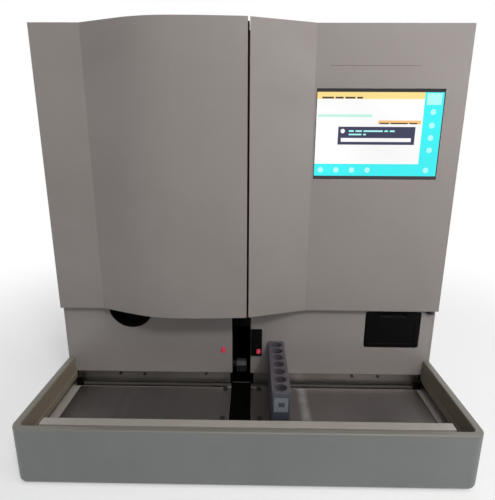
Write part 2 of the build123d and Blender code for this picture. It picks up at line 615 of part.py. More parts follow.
def hinge_pins():
    """Pins of the hood, the door and the hopper's lid."""
    pins = [rod_x(2.0, (x - 5.0, x + 5.0), HOOD_AXIS_Y, HOOD_AXIS_Z) for x in (-270.0, -40.0)]
    pins.append(rod_z(2.5, (172.0, 187.5), DOOR_AXIS_X, DOOR_AXIS_Y))
    pins.append(rod_z(2.5, (576.0, 588.5), DOOR_AXIS_X, DOOR_AXIS_Y))
    pins.append(rod_x(1.5, (-230.0, -140.0), LID_AXIS_Y, LID_AXIS_Z))
    return group(pins)


def display_module():
    """Panel and driver board behind the door's window, in a folded carrier."""
    x = (DISPLAY_X[0] - 4.0, DISPLAY_X[1] + 4.0)
    z = (DISPLAY_Z[0] - 4.0, DISPLAY_Z[1] + 4.0)
    panel = box((DISPLAY_X[0] + 2.5, DISPLAY_X[1] - 2.5), (-131.2, -122.0),
                (DISPLAY_Z[0] + 2.5, DISPLAY_Z[1] - 2.5))
    carrier = box(x, (DOOR_FRONT + SKIN, -119.0), z)
    board = box((x[0] + 12.0, x[1] - 12.0), (-113.0, -111.4), (z[0] + 10.0, z[1] - 10.0))
    for px in (x[0] + 16.0, x[1] - 16.0):
        for pz in (z[0] + 14.0, z[1] - 14.0):
            board += prism_y(Pos(px, pz) * RegularPolygon(3.2, 6), (-119.0, -111.0))
    chips = [box((130.0, 158.0), (-111.4, -108.6), (430.0, 458.0)),
             box((180.0, 200.0), (-111.4, -107.0), (440.0, 454.0)),
             box((215.0, 243.0), (-111.4, -101.0), (412.0, 420.0))]
    return panel + carrier + board + chips


def touch_glass():
    """Glass with a black border, set into the door's front."""
    glass = box((DISPLAY_X[0] + 0.3, DISPLAY_X[1] - 0.3), (DOOR_FRONT + 0.2, DOOR_FRONT + 1.2),
                (DISPLAY_Z[0] + 0.3, DISPLAY_Z[1] - 0.3))
    return chamfer(glass.edges().group_by(Axis.Y)[0], 0.3)


# --- Waste drawer and chute ---
def waste_bin():
    """Black pull-out bin: open tub, thicker front with a finger groove under its top edge."""
    front_y = WALL_FRONT + 0.4
    x = (BIN_X[0] + 2.6, BIN_X[1] - 2.6)
    z = (BIN_Z[0] + 1.5, BIN_Z[1] - 4.0)
    tub = prism_z(rect(x, (front_y + 2.0, front_y + BIN_DEPTH), 4.0), z)
    tub -= prism_z(rect((x[0] + 1.8, x[1] - 1.8), (front_y + 8.0, front_y + BIN_DEPTH - 1.8), 4.0),
                   (z[0] + 1.8, z[1] + 1.0))
    front = prism_y(rect((BIN_X[0] + 0.2, BIN_X[1] - 0.2), (BIN_Z[0] + 0.2, BIN_Z[1] - 0.2), 3.0),
                    (front_y, front_y + 5.0))
    front = chamfer(front.edges().group_by(Axis.Y)[0], 0.8)
    groove = prism_x(disc(front_y - 1.0, BIN_Z[1] - 6.0, 4.0), (BIN_X[0] + 22.0, BIN_X[1] - 22.0))
    field = prism_y(rect((BIN_X[0] + 7.0, BIN_X[1] - 7.0), (BIN_Z[0] + 7.0, BIN_Z[1] - 16.0), 3.0),
                    (front_y - 1.0, front_y + 0.8))
    return tub + front - groove - field


def bin_runners():
    """Angled runners under the bin's long sides, on stays from the base pan."""
    runners = []
    for side, x in ((-1, BIN_X[0] + 2.3), (1, BIN_X[1] - 2.3)):
        shelf = sorted((x - side * 8.0, x + side * 2.0))
        wall = sorted((x + side * 0.4, x + side * 2.0))
        y = (-118.0, 45.0)
        angle = box(shelf, y, (BIN_Z[0] - 1.2, BIN_Z[0] + 1.2))
        angle += box(wall, y, (BIN_Z[0] - 1.2, BIN_Z[0] + 14.0))
        for leg_y in (-110.0, 35.0):
            angle += box(wall, (leg_y, leg_y + 8.0), (PAN + PAN_T, BIN_Z[0]))
            angle += box(shelf, (leg_y, leg_y + 8.0), (PAN + PAN_T, PAN + PAN_T + 1.6))
        runners.append(angle)
    return group(runners)


def waste_chute():
    """Open funnel from the conveyor's end down to the bin."""
    def narrowing(middle, top, low, base):
        """Outline of the funnel seen square to one side, from its half widths."""
        return poly((middle - base, 174.5), (middle + base, 174.5), (middle + low, DECK),
                    (middle + top, 214.0), (middle - top, 214.0), (middle - low, DECK))
    def funnel(inset):
        across = prism_y(narrowing(236.0, 35.0 - inset, 30.0 - inset, 28.0 - inset), (-80.0, 40.0))
        along = prism_x(narrowing(-20.0, 44.0 - inset, 39.0 - inset, 37.0 - inset), (190.0, 280.0))
        return across & along
    rim = prism_z(rect((200.0, 272.0), (-65.0, 25.0)) - rect((202.0, 270.0), (-63.0, 23.0)), (211.0, 214.0))
    collar = prism_z(rect((200.0, 270.0), (-64.0, 24.0)) - rect((206.5, 265.5), (-58.5, 18.5)),
                     (DECK, DECK + 2.0))
    return funnel(0.0) - funnel(1.6) + rim + collar


# --- Strip hopper and conveyor ---
def strip_hopper():
    """Funnel over the drum between two end cheeks that carry its shaft."""
    outer = box((-236.0, -134.0), (-74.0, 34.0), (288.0, 360.0))
    across = poly((DRUM_X - 11.0, 288.0), (DRUM_X + 11.0, 288.0),
                  (DRUM_X + 47.0, 360.0), (DRUM_X - 47.0, 360.0))
    along = poly((-66.0, 288.0), (26.0, 288.0), (30.0, 360.0), (-70.0, 360.0))
    body = outer - (prism_y(across, (-80.0, 40.0)) & prism_x(along, (-240.0, -130.0)))
    for side in (-1, 1):
        corners = ((55.0, 280.0), (20.0, 283.0), (51.5, 330.0), (55.0, 330.0))
        under = poly(*[(DRUM_X + side * x, z) for x, z in corners])
        body -= prism_y(under, (-80.0, 40.0))
    cheek = hull(rect((-233.0, -137.0), (DECK, DECK + 6.0)), rect((-225.0, -145.0), (285.0, 300.0)))
    for y in ((-74.0, -70.0), (30.0, 34.0)):
        body += prism_y(cheek, y)
    body -= rod_y(4.0 + RUNNING, (-80.0, 40.0), DRUM_X, DRUM_Z)
    knuckle = rect((34.0, LID_AXIS_Y), (352.0, 360.0)) + disc(LID_AXIS_Y, LID_AXIS_Z, 3.6)
    knuckle += rect((LID_AXIS_Y - 3.6, LID_AXIS_Y + 3.6), (356.0, LID_AXIS_Z))
    for x in ((-222.0, -206.0), (-164.0, -148.0)):
        body += prism_x(knuckle, x)
        body -= rod_x(1.5, (x[0] - 1.0, x[1] + 1.0), LID_AXIS_Y, LID_AXIS_Z)
    return body


def hopper_lid():
    """Lid with a turned-down lip, a finger tab and hinge knuckles."""
    lid = box((-237.0, -133.0), (-76.0, 33.0), (361.0, 363.5))
    lid += prism_x(poly((-76.0, 361.0), (-86.0, 359.0), (-86.0, 361.5), (-76.0, 363.5)), (-200.0, -170.0))
    arm = rect((30.0, LID_AXIS_Y), (361.4, 365.0)) + disc(LID_AXIS_Y, LID_AXIS_Z, 3.6)
    for x in ((-205.0, -190.0), (-180.0, -165.0)):
        lid += prism_x(arm, x)
        lid -= rod_x(1.5 + RUNNING, (x[0] - 1.0, x[1] + 1.0), LID_AXIS_Y, LID_AXIS_Z)
    return lid


def strip_drum():
    """Pick-up drum with lengthwise grooves, one strip wide, and a stepped shaft."""
    grooves = 8
    profile = disc(DRUM_X, DRUM_Z, DRUM_R)
    for i in range(grooves):
        angle = 360.0 * i / grooves
        cut = Pos(DRUM_X, DRUM_Z) * Rot(0, 0, angle) * Pos(DRUM_R, 0) * Rectangle(3.0, 6.0)
        profile -= cut
    return prism_y(profile, DRUM_Y) + rod_y(4.0, (DRUM_Y[0] - 10.0, DRUM_Y[1] + 10.0), DRUM_X, DRUM_Z)


def conveyor_rails():
    """Two rails on legs that the strips lie across."""
    rails = []
    for y in ((-62.0, -58.0), (18.0, 22.0)):
        rail = prism_y(rect((-120.0, 198.0), (STRIP_TOP - 10.0, STRIP_TOP)), y)
        for x in (-110.0, 30.0, 180.0):
            rail += prism_y(poly((x - 8.0, DECK), (x + 8.0, DECK), (x + 4.0, STRIP_TOP - 9.0),
                                 (x - 4.0, STRIP_TOP - 9.0)), y)
        rails.append(rail)
    return group(rails)


def conveyor_comb():
    """Walking comb: two toothed bars joined under the strips."""
    count = 16
    comb = Part()
    for y in ((-54.0, -51.0), (11.0, 14.0)):
        outline = rect((-114.0, 178.0), (215.0, 224.0))
        for i in range(count):
            x = -109.0 + i * STRIP_PITCH
            outline += poly((x - 2.5, 223.0), (x + 2.5, 223.0), (x + 1.2, 231.0), (x - 1.2, 231.0))
        comb += prism_y(outline, y)
    for x in (-112.0, 60.0, 172.0):
        comb += box((x - 3.0, x + 3.0), (-54.0, 14.0), (211.0, 216.0))
    return comb


def test_strips():
    """Test strips lying across the rails, spaced at the comb's pitch."""
    places = [-100.0, -82.0, -64.0, 44.0, 62.0, 80.0, 98.0, 116.0, 134.0, 152.0]
    strips = []
    for x in places:
        strips.append(box((x - 2.5, x + 2.5), (-68.0, 28.0), (STRIP_TOP, STRIP_TOP + 0.6)))
    return group(strips)


# --- Probe and fluids ---
def probe_rail():
    """Bridge with a guide rail, on two posts behind the conveyor."""
    bridge = box((-112.0, 72.0), (50.0, 64.0), (396.0, 440.0))
    bridge -= box((-95.0, 55.0), (52.5, 70.0), (400.0, 436.0))
    bridge += box((-108.0, 68.0), (44.0, 50.0), (412.0, 424.0))
    for x in ((-112.0, -98.0), (58.0, 72.0)):
        bridge += box(x, (50.0, 64.0), (DECK, 400.0))
        bridge += box((x[0] - 6.0, x[1] + 6.0), (44.0, 74.0), (DECK, DECK + 3.0))
    return bridge


def probe_carriage():
    """Carriage that hooks round the rail, with a vertical dovetail in front."""
    body = box((NEEDLE_X - 18.0, NEEDLE_X + 18.0), (34.0, 49.6), (402.0, 434.0))
    body -= box((-200.0, 200.0), (43.7, 60.0), (411.6, 424.4))
    tower = box((NEEDLE_X - 12.0, NEEDLE_X + 12.0), (28.0, 34.0), (312.0, 500.0))
    key = box((NEEDLE_X - 5.0, NEEDLE_X + 5.0), (24.0, 28.0), (312.0, 500.0))
    return body + tower + key


def probe_arm():
    """Arm on the carriage's key, reaching over the strips, with the needle."""
    slide = box((NEEDLE_X - 9.0, NEEDLE_X + 9.0), (14.0, 27.6), (455.0, 495.0))
    slide -= box((NEEDLE_X - 5.3, NEEDLE_X + 5.3), (23.7, 30.0), (450.0, 500.0))
    arm = prism_x(poly((14.0, 458.0), (14.0, 478.0), (NEEDLE_Y - 6.0, 470.0), (NEEDLE_Y - 6.0, 462.0)),
                  (NEEDLE_X - 4.0, NEEDLE_X + 4.0))
    needle = rod_z(0.9, (262.0, 462.0), NEEDLE_X, NEEDLE_Y) + rod_z(2.4, (430.0, 464.0), NEEDLE_X, NEEDLE_Y)
    return slide + arm + needle


def wash_station():
    """Round rinse cup beside the sampling place."""
    x, y = NEEDLE_X - 20.0, NEEDLE_Y
    cup = rod_z(7.5, (DECK, 229.0), x, y) + rod_z(11.0, (DECK, DECK + 3.0), x, y)
    return cup - rod_z(5.0, (DECK - 1.0, 240.0), x, y)


def reader_head():
    """Optical head on a stand over the strips."""
    head = box((108.0, 164.0), (-66.0, 31.0), (248.0, 300.0))
    head = fillet(head.edges().filter_by(Axis.Y), 5.0)
    head -= box((114.0, 158.0), (-50.0, 10.0), (240.0, 254.0))
    stand = prism_y(rect((116.0, 156.0), (DECK, 290.0), 3.0), (30.0, 35.0))
    return head + stand + box((112.0, 160.0), (30.0, 46.0), (DECK, DECK + 3.0))


def syringe_pump():
    """Frame, motor and glass barrel of the dosing syringe."""
    x, y = SYRINGE_X, SYRINGE_Y
    plate = box((x - 28.0, x + 28.0), (y + 16.0, y + 20.0), (DECK, 400.0))
    plate += box((x - 22.0, x + 22.0), (y - 18.0, y + 16.0), (DECK, 226.0))
    barrel = rod_z(9.0, (320.0, 392.0), x, y) - rod_z(6.6, (310.0, 388.0), x, y)
    bore = rod_z(6.6, (300.0, 388.0), x, y)
    for z in ((350.0, 362.0), (376.0, 384.0)):
        plate += box((x - 16.0, x + 16.0), (y - 2.0, y + 16.0), z) - bore
    return plate + barrel


def syringe_plunger():
    """Plunger rod with its piston and the drive yoke."""
    x, y = SYRINGE_X, SYRINGE_Y
    return rod_z(6.3, (372.0, 380.0), x, y) + rod_z(2.5, (296.0, 374.0), x, y) \
        + box((x - 12.0, x + 12.0), (y - 12.0, y + 12.0), (288.0, 297.0))


# --- Electrical pieces ---
def power_supply():
    """Closed supply in a perforated steel case, on the base pan."""
    case = box((-270.0, -130.0), (120.0, 230.0), (PAN + PAN_T, 80.0))
    case = chamfer(case.edges().filter_by(Axis.Y).group_by(Axis.Z)[-1], 2.0)
    slots = [box((x, x + 4.0), (140.0, 210.0), (78.5, 90.0)) for x in range(-250, -150, 12)]
    return case - slots


def main_board():
    """Control board on stand-offs before the rear panel."""
    board = box((-20.0, 220.0), (276.0, 277.6), (230.0, 400.0))
    for x in (-10.0, 210.0):
        for z in (240.0, 390.0):
            board += prism_y(Pos(x, z) * RegularPolygon(3.2, 6), (277.6, REAR_FACE - SKIN))
    parts = [box((20.0, 54.0), (272.5, 276.0), (300.0, 334.0)),
             box((90.0, 116.0), (273.5, 276.0), (280.0, 306.0)),
             box((150.0, 200.0), (264.0, 276.0), (244.0, 252.0)),
             box((150.0, 200.0), (264.0, 276.0), (262.0, 270.0)),
             box((0.0, 60.0), (266.0, 276.0), (376.0, 386.0))]
    for z in (300.0, 318.0, 336.0):
        parts.append(rod_y(6.0, (256.0, 276.0), 180.0, z))
    return board + parts


def fan_housing():
    """Square fan frame with a bore and a motor spider."""
    half = 46.0
    y = (REAR_FACE - SKIN - 25.0, REAR_FACE - SKIN)
    square = rect((FAN_X - half, FAN_X + half), (FAN_Z - half, FAN_Z + half), 5.0)
    body = prism_y(square - disc(FAN_X, FAN_Z, FAN_R), y)
    for dx in (-41.2, 41.2):
        for dz in (-41.2, 41.2):
            body -= rod_y(2.2, (y[0] - 1.0, y[1] + 1.0), FAN_X + dx, FAN_Z + dz)
    spider = disc(FAN_X, FAN_Z, 16.0)
    for i in range(4):
        arm = Rot(0, 0, 45.0 + 90.0 * i) * Pos(FAN_R / 2 + 2.0, 0) * Rectangle(FAN_R, 4.0)
        spider += Pos(FAN_X, FAN_Z) * arm
    body += prism_y(spider, (y[1] - 4.0, y[1]))
    return body - rod_y(2.0 + RUNNING, (y[0], y[1] - 1.0), FAN_X, FAN_Z)


def fan_rotor():
    """Hub with seven twisted blades and a stub shaft."""
    y = (REAR_FACE - SKIN - 23.0, REAR_FACE - SKIN - 5.0)
    hub = rod_y(15.0, y, FAN_X, FAN_Z)
    hub += rod_y(2.0, (y[1], y[1] + 3.0), FAN_X, FAN_Z)
    blade = Pos(27.0, 0, 0) * Rot(35, 0, 0) * Box(28.0, 1.6, 17.0)
    for i in range(7):
        turned = Rot(0, 0, 360.0 / 7 * i) * blade
        hub += Pos(FAN_X, (y[0] + y[1]) / 2, FAN_Z) * Rot(90, 0, 0) * turned
    return hub


def power_inlet():
    """Mains inlet with three blades in its well, over the switch's frame."""
    x, z = INLET_X, INLET_Z
    flange = prism_y(rect(x, z, 2.0), (REAR_FACE, BACK))
    body = box((x[0] + 2.4, x[1] - 2.4), (280.0, REAR_FACE), (z[0] + 4.4, z[1] - 4.4))
    middle = sum(x) / 2
    well = prism_y(rect((middle - 11.5, middle + 11.5), (z[0] + 6.0, z[0] + 22.0), 3.0), (288.0, BACK + 1.0))
    blades = []
    for dx, dz in ((-7.0, -2.0), (7.0, -2.0), (0.0, 2.0)):
        bz = z[0] + 14.0 + dz
        blades.append(box((middle + dx - 1.0, middle + dx + 1.0), (288.0, 302.0), (bz - 2.0, bz + 2.0)))
    pocket = box((middle - 10.0, middle + 10.0), (292.0, BACK + 1.0), (z[1] - 20.0, z[1] - 6.0))
    return flange + body - well - pocket + blades


def power_switch():
    """Rocker with two faces that meet at a shallow angle."""
    middle = sum(INLET_X) / 2
    z = INLET_Z[1] - 13.0
    side = poly((298.0, z - 5.6), (305.2, z - 5.2), (303.6, z), (305.2, z + 5.2), (298.0, z + 5.6))
    return prism_x(side + disc(299.5, z, 3.0), (middle - 9.4, middle + 9.4))


def build():
    os.makedirs("parts", exist_ok=True)
    save("rubber_feet", rubber_feet())
    save("base_pan", base_pan())
    save("tray_surround", tray_surround())
    save("tray_floor", tray_floor())
    save("left_tray_plate", tray_plate(-1))
    save("right_tray_plate", tray_plate(1))
    save("rear_rails", rear_rails())
    save("tray_screws", tray_screws())
    save("left_rack_pusher", rack_pusher(-1))
    save("right_rack_pusher", rack_pusher(1))
    save("guide_rods", guide_rods())
    save("lane_bed", lane_bed())
    save("rack_tunnel", rack_tunnel())
    save("rack_puller", rack_puller())
    save("puller_belt", puller_belt())
    save("puller_idler_pulley", pulley(PULLEY_Y[0]))
    save("puller_drive_pulley", pulley(PULLEY_Y[1]))
    save("puller_motor", puller_motor())
    save("sample_rack", sample_rack())
    save("barcode_reader", barcode_reader())
    save("slot_lamps", slot_lamps())
    save("lower_front_wall", lower_front_wall())
    save("finger_cup", finger_cup())
    save("left_side_panel", side_panel(-1))
    save("right_side_panel", side_panel(1))
    save("roof_panel", roof_panel())
    save("rear_panel", rear_panel())
    save("left_frame", frame(-1))
    save("right_frame", frame(1))
    save("cross_beam", cross_beam())
    save("centre_post", centre_post())
    save("instrument_deck", instrument_deck())
    save("left_hood", left_hood())
    save("right_door", right_door())
    save("hinge_brackets", hinge_brackets())
    save("hinge_pins", hinge_pins())
    save("display_module", display_module())
    save("touch_glass", touch_glass())
    save("waste_bin", waste_bin())
    save("bin_runners", bin_runners())
    save("waste_chute", waste_chute())
    save("strip_hopper", strip_hopper())
    save("hopper_lid", hopper_lid())
    save("strip_drum", strip_drum())
    save("conveyor_rails", conveyor_rails())
    save("conveyor_comb", conveyor_comb())
    save("test_strips", test_strips())
    save("probe_rail", probe_rail())
    save("probe_carriage", probe_carriage())
    save("probe_arm", probe_arm())
    save("wash_station", wash_station())
    save("reader_head", reader_head())
    save("syringe_pump", syringe_pump())
    save("syringe_plunger", syringe_plunger())
    save("power_supply", power_supply())
    save("main_board", main_board())
    save("fan_housing", fan_housing())
    save("fan_rotor", fan_rotor())
    save("power_inlet", power_inlet())
    save("power_switch", power_switch())


build()
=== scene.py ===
import math

import bmesh
import bpy
from mathutils import Matrix, Vector


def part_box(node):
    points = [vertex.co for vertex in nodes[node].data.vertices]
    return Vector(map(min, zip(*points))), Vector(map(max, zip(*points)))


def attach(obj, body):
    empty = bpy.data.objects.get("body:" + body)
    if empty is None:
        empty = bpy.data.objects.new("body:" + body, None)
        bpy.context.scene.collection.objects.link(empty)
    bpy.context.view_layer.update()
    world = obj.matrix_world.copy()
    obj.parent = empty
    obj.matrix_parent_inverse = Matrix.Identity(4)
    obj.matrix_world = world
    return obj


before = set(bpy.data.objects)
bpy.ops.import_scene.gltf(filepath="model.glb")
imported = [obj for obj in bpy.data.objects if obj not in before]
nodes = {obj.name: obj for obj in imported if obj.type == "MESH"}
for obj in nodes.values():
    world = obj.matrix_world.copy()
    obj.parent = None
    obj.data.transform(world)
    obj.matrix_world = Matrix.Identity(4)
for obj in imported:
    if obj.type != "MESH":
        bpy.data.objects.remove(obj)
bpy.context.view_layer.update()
scene = bpy.context.scene
scene.view_settings.view_transform = "Standard"


# --- The view ---
# A person stands close before the bench and looks slightly down at the analyzer, through a
# fairly wide lens.
EYE = (0.0066, -0.7508, 0.4412)
TURN, TILT, ROLL = (math.radians(angle) for angle in (0.79, 75.1, 0.30))
camera = bpy.data.objects.new("camera", bpy.data.cameras.new("camera"))
scene.collection.objects.link(camera)
camera.data.sensor_width = 36.0
camera.data.lens = 30.1
camera.matrix_world = (Matrix.Translation(EYE)
                       @ (Matrix.Rotation(TURN, 4, "Z") @ Matrix.Rotation(TILT, 4, "X"))
                       @ Matrix.Rotation(ROLL, 4, "Z"))
scene.camera = camera


# --- The studio ---
# A pale bench that fades into white paper, with two soft lamps in front, a small one near the
# right side, a weak one on the left and one behind. The paper looks white in mirrors and
# through glass too.
def srgb(red, green, blue):
    """A colour given as 0 to 255 on screen."""
    linear = [(c / 255.0 / 12.92) if c < 10.4 else ((c / 255.0 + 0.055) / 1.055) ** 2.4
              for c in (red, green, blue)]
    return (*linear, 1.0)


def place(tree, kind, sockets, **settings):
    """A shader node with its settings, and its sockets either linked or set."""
    node = tree.nodes.new(kind)
    for name, value in settings.items():
        setattr(node, name, value)
    for key, value in sockets.items():
        if isinstance(value, bpy.types.NodeSocket):
            tree.links.new(value, node.inputs[key])
        else:
            node.inputs[key].default_value = value
    return node


def paper_light(tree):
    """1 where a surface is seen by the camera, in a mirror or through glass."""
    rays = place(tree, "ShaderNodeLightPath", {})
    seen = place(tree, "ShaderNodeMath",
                 {0: rays.outputs["Is Camera Ray"], 1: rays.outputs["Is Glossy Ray"]},
                 operation="MAXIMUM")
    both = place(tree, "ShaderNodeMath",
                 {0: seen.outputs[0], 1: rays.outputs["Is Transmission Ray"]},
                 operation="MAXIMUM")
    return both.outputs[0]


def new_material(name):
    """A material with no nodes in it yet, and its node tree."""
    material = bpy.data.materials.new(name)
    material.use_nodes = True
    material.node_tree.nodes.clear()
    return material, material.node_tree


room = bpy.data.worlds.new("room")
scene.world = room
room.use_nodes = True
sky = room.node_tree
sky.nodes.clear()
ambient = place(sky, "ShaderNodeBackground", {"Color": srgb(226, 230, 238), "Strength": 0.19})
paper = place(sky, "ShaderNodeBackground", {"Color": (1.0, 1.0, 1.0, 1.0), "Strength": 1.0})
sky_mix = place(sky, "ShaderNodeMixShader",
                {0: paper_light(sky), 1: ambient.outputs[0], 2: paper.outputs[0]})
place(sky, "ShaderNodeOutputWorld", {"Surface": sky_mix.outputs[0]})

BENCH_RADIUS = 6.0
PAPER_NEAR, PAPER_FAR = 0.3, 1.1  # between these distances the bench turns into paper
FOOTPRINT = (0.296, 0.3)  # the analyzer stands on this much, to each side of the middle
bench_form = bmesh.new()
bmesh.ops.create_circle(bench_form, cap_ends=True, segments=96, radius=BENCH_RADIUS)
bench_mesh = bpy.data.meshes.new("bench")
bench_form.to_mesh(bench_mesh)
bench_form.free()
bench = bpy.data.objects.new("bench", bench_mesh)
scene.collection.objects.link(bench)
bench_paint, tree = new_material("bench_paper")
where = place(tree, "ShaderNodeTexCoord", {})
reach = place(tree, "ShaderNodeVectorMath", {0: where.outputs["Object"]}, operation="LENGTH")
fade = place(tree, "ShaderNodeMapRange",
             {"Value": reach.outputs["Value"], "From Min": PAPER_NEAR, "From Max": PAPER_FAR,
              "To Min": 0.45}, interpolation_type="SMOOTHSTEP")
fibre = place(tree, "ShaderNodeTexNoise",
              {"Vector": where.outputs["Object"], "Scale": 900.0, "Detail": 3.0})
pale = place(tree, "ShaderNodeMapRange", {"Value": fibre.outputs[0], "To Min": 0.9, "To Max": 0.96})
matt = place(tree, "ShaderNodeBsdfDiffuse", {"Color": pale.outputs[0]})
white = place(tree, "ShaderNodeEmission", {"Strength": 1.0})
# The bench under the analyzer stays dark, so that nothing shines up through its vents.
foot = place(tree, "ShaderNodeVectorMath",
             {0: where.outputs["Object"], 1: (1 / FOOTPRINT[0], 1 / FOOTPRINT[1], 0.0)},
             operation="MULTIPLY")
foot_size = place(tree, "ShaderNodeVectorMath", {0: foot.outputs["Vector"]}, operation="ABSOLUTE")
foot_axes = place(tree, "ShaderNodeSeparateXYZ", {0: foot_size.outputs["Vector"]})
foot_reach = place(tree, "ShaderNodeMath",
                   {0: foot_axes.outputs["X"], 1: foot_axes.outputs["Y"]}, operation="MAXIMUM")
outside = place(tree, "ShaderNodeMapRange",
                {"Value": foot_reach.outputs[0], "From Min": 0.97, "From Max": 1.0})
open_paper = place(tree, "ShaderNodeMath", {0: fade.outputs[0], 1: outside.outputs[0]},
                   operation="MULTIPLY")
far = place(tree, "ShaderNodeMath", {0: open_paper.outputs[0], 1: paper_light(tree)},
            operation="MULTIPLY")
bench_mix = place(tree, "ShaderNodeMixShader",
                  {0: far.outputs[0], 1: matt.outputs[0], 2: white.outputs[0]})
place(tree, "ShaderNodeOutputMaterial", {"Surface": bench_mix.outputs[0]})
bench_mesh.materials.append(bench_paint)


def lamp(name, spot, aim, size, watts, colour):
    """A square soft box at one spot, aimed at another."""
    light = bpy.data.lights.new(name, "AREA")
    light.size = size
    light.energy = watts
    light.color = colour
    box = bpy.data.objects.new(name, light)
    scene.collection.objects.link(box)
    box.location = spot
    box.rotation_euler = (Vector(aim) - Vector(spot)).to_track_quat("-Z", "Y").to_euler()


lamp("key", (0.6, -1.5, 1.55), (0.0, -0.1, 0.3), 0.3, 13.4, (1.0, 0.985, 0.975))
lamp("top", (0.35, -0.85, 1.9), (0.05, -0.15, 0.4), 0.7, 8.4, (1.0, 0.985, 0.975))
lamp("near", (0.72, -0.62, 0.62), (0.28, -0.13, 0.45), 0.4, 1.9, (1.0, 0.98, 0.985))
lamp("fill", (-1.5, -1.5, 0.9), (0.0, -0.1, 0.3), 1.4, 2.2, (0.95, 0.98, 1.0))
lamp("rim", (0.3, 1.5, 1.6), (0.0, 0.1, 0.4), 1.2, 12.0, (1.0, 1.0, 1.0))


# --- Hood and door ---
# Two vacuum-formed covers in warm grey, with the fine even texture of moulded sheet, painted
# with a satin lacquer. Hands have left faint marks, and their edges are rubbed a little.
def new_group(name, inputs, outputs):
    """An empty shader group with its sockets: the tree, its input node and its output node."""
    group = bpy.data.node_groups.new(name, "ShaderNodeTree")
    for label, default in inputs.items():
        socket = group.interface.new_socket(label, in_out="INPUT", socket_type="NodeSocketFloat")
        socket.default_value = default
    for label, kind in outputs.items():
        group.interface.new_socket(label, in_out="OUTPUT", socket_type=kind)
    return group, group.nodes.new("NodeGroupInput"), group.nodes.new("NodeGroupOutput")


def use_group(tree, group, **values):
    """A shader group placed in a material with its own values."""
    node = tree.nodes.new("ShaderNodeGroup")
    node.node_tree = group
    for label, value in values.items():
        node.inputs[label].default_value = value
    return node


# Fine raised texture: rounded cells of one size over a slow waviness.
skin_grain, grain_in, grain_out = new_group(
    "skin_grain", {"Scale": 1400.0, "Waves": 0.3}, {"Height": "NodeSocketFloat"})
spot = place(skin_grain, "ShaderNodeTexCoord", {})
cells = place(skin_grain, "ShaderNodeTexVoronoi",
              {"Vector": spot.outputs["Object"], "Scale": grain_in.outputs["Scale"]},
              feature="SMOOTH_F1")
waves = place(skin_grain, "ShaderNodeTexNoise",
              {"Vector": spot.outputs["Object"], "Scale": 26.0, "Detail": 2.0})
slow = place(skin_grain, "ShaderNodeMath", {0: waves.outputs[0], 1: grain_in.outputs["Waves"]},
             operation="MULTIPLY")
height = place(skin_grain, "ShaderNodeMath", {0: cells.outputs["Distance"], 1: slow.outputs[0]},
               operation="ADD")
skin_grain.links.new(height.outputs[0], grain_out.inputs["Height"])

# Handling marks: soft smears, small specks and a few upright wipes.
hand_marks, marks_in, marks_out = new_group(
    "hand_marks", {"Smears": 7.0, "Specks": 0.25}, {"Mask": "NodeSocketFloat"})
spot = place(hand_marks, "ShaderNodeTexCoord", {})
smear = place(hand_marks, "ShaderNodeTexNoise",
              {"Vector": spot.outputs["Object"], "Scale": marks_in.outputs["Smears"],
               "Detail": 5.0, "Roughness": 0.62, "Distortion": 0.6})
soft = place(hand_marks, "ShaderNodeMapRange",
             {"Value": smear.outputs[0], "From Min": 0.42, "From Max": 0.72})
stretch = place(hand_marks, "ShaderNodeMapping",
                {"Vector": spot.outputs["Object"], "Scale": (42.0, 42.0, 3.0)})
wipe = place(hand_marks, "ShaderNodeTexNoise",
             {"Vector": stretch.outputs[0], "Scale": 1.0, "Detail": 4.0})
wiped = place(hand_marks, "ShaderNodeMapRange",
              {"Value": wipe.outputs[0], "From Min": 0.58, "From Max": 0.8, "To Max": 0.5})
speck = place(hand_marks, "ShaderNodeTexNoise", {"Vector": spot.outputs["Object"], "Scale": 420.0})
dots = place(hand_marks, "ShaderNodeMapRange",
             {"Value": speck.outputs[0], "From Min": 0.68, "From Max": 0.74})
faint = place(hand_marks, "ShaderNodeMath", {0: dots.outputs[0], 1: marks_in.outputs["Specks"]},
              operation="MULTIPLY")
first = place(hand_marks, "ShaderNodeMath", {0: soft.outputs[0], 1: wiped.outputs[0]},
              operation="MAXIMUM")
every = place(hand_marks, "ShaderNodeMath", {0: first.outputs[0], 1: faint.outputs[0]},
              operation="MAXIMUM", use_clamp=True)
hand_marks.links.new(every.outputs[0], marks_out.inputs["Mask"])

# Dust that has settled where a surface faces up.
settled_dust, dust_in, dust_out = new_group(
    "settled_dust", {"Amount": 0.3}, {"Mask": "NodeSocketFloat"})
spot = place(settled_dust, "ShaderNodeTexCoord", {})
facing = place(settled_dust, "ShaderNodeSeparateXYZ", {0: spot.outputs["Normal"]})
level = place(settled_dust, "ShaderNodeMapRange", {"Value": facing.outputs["Z"], "From Min": 0.5})
drift = place(settled_dust, "ShaderNodeTexNoise",
              {"Vector": spot.outputs["Object"], "Scale": 34.0, "Detail": 6.0, "Roughness": 0.7})
lying = place(settled_dust, "ShaderNodeMath", {0: level.outputs[0], 1: drift.outputs[0]},
              operation="MULTIPLY")
dusty = place(settled_dust, "ShaderNodeMath", {0: lying.outputs[0], 1: dust_in.outputs["Amount"]},
              operation="MULTIPLY", use_clamp=True)
settled_dust.links.new(dusty.outputs[0], dust_out.inputs["Mask"])

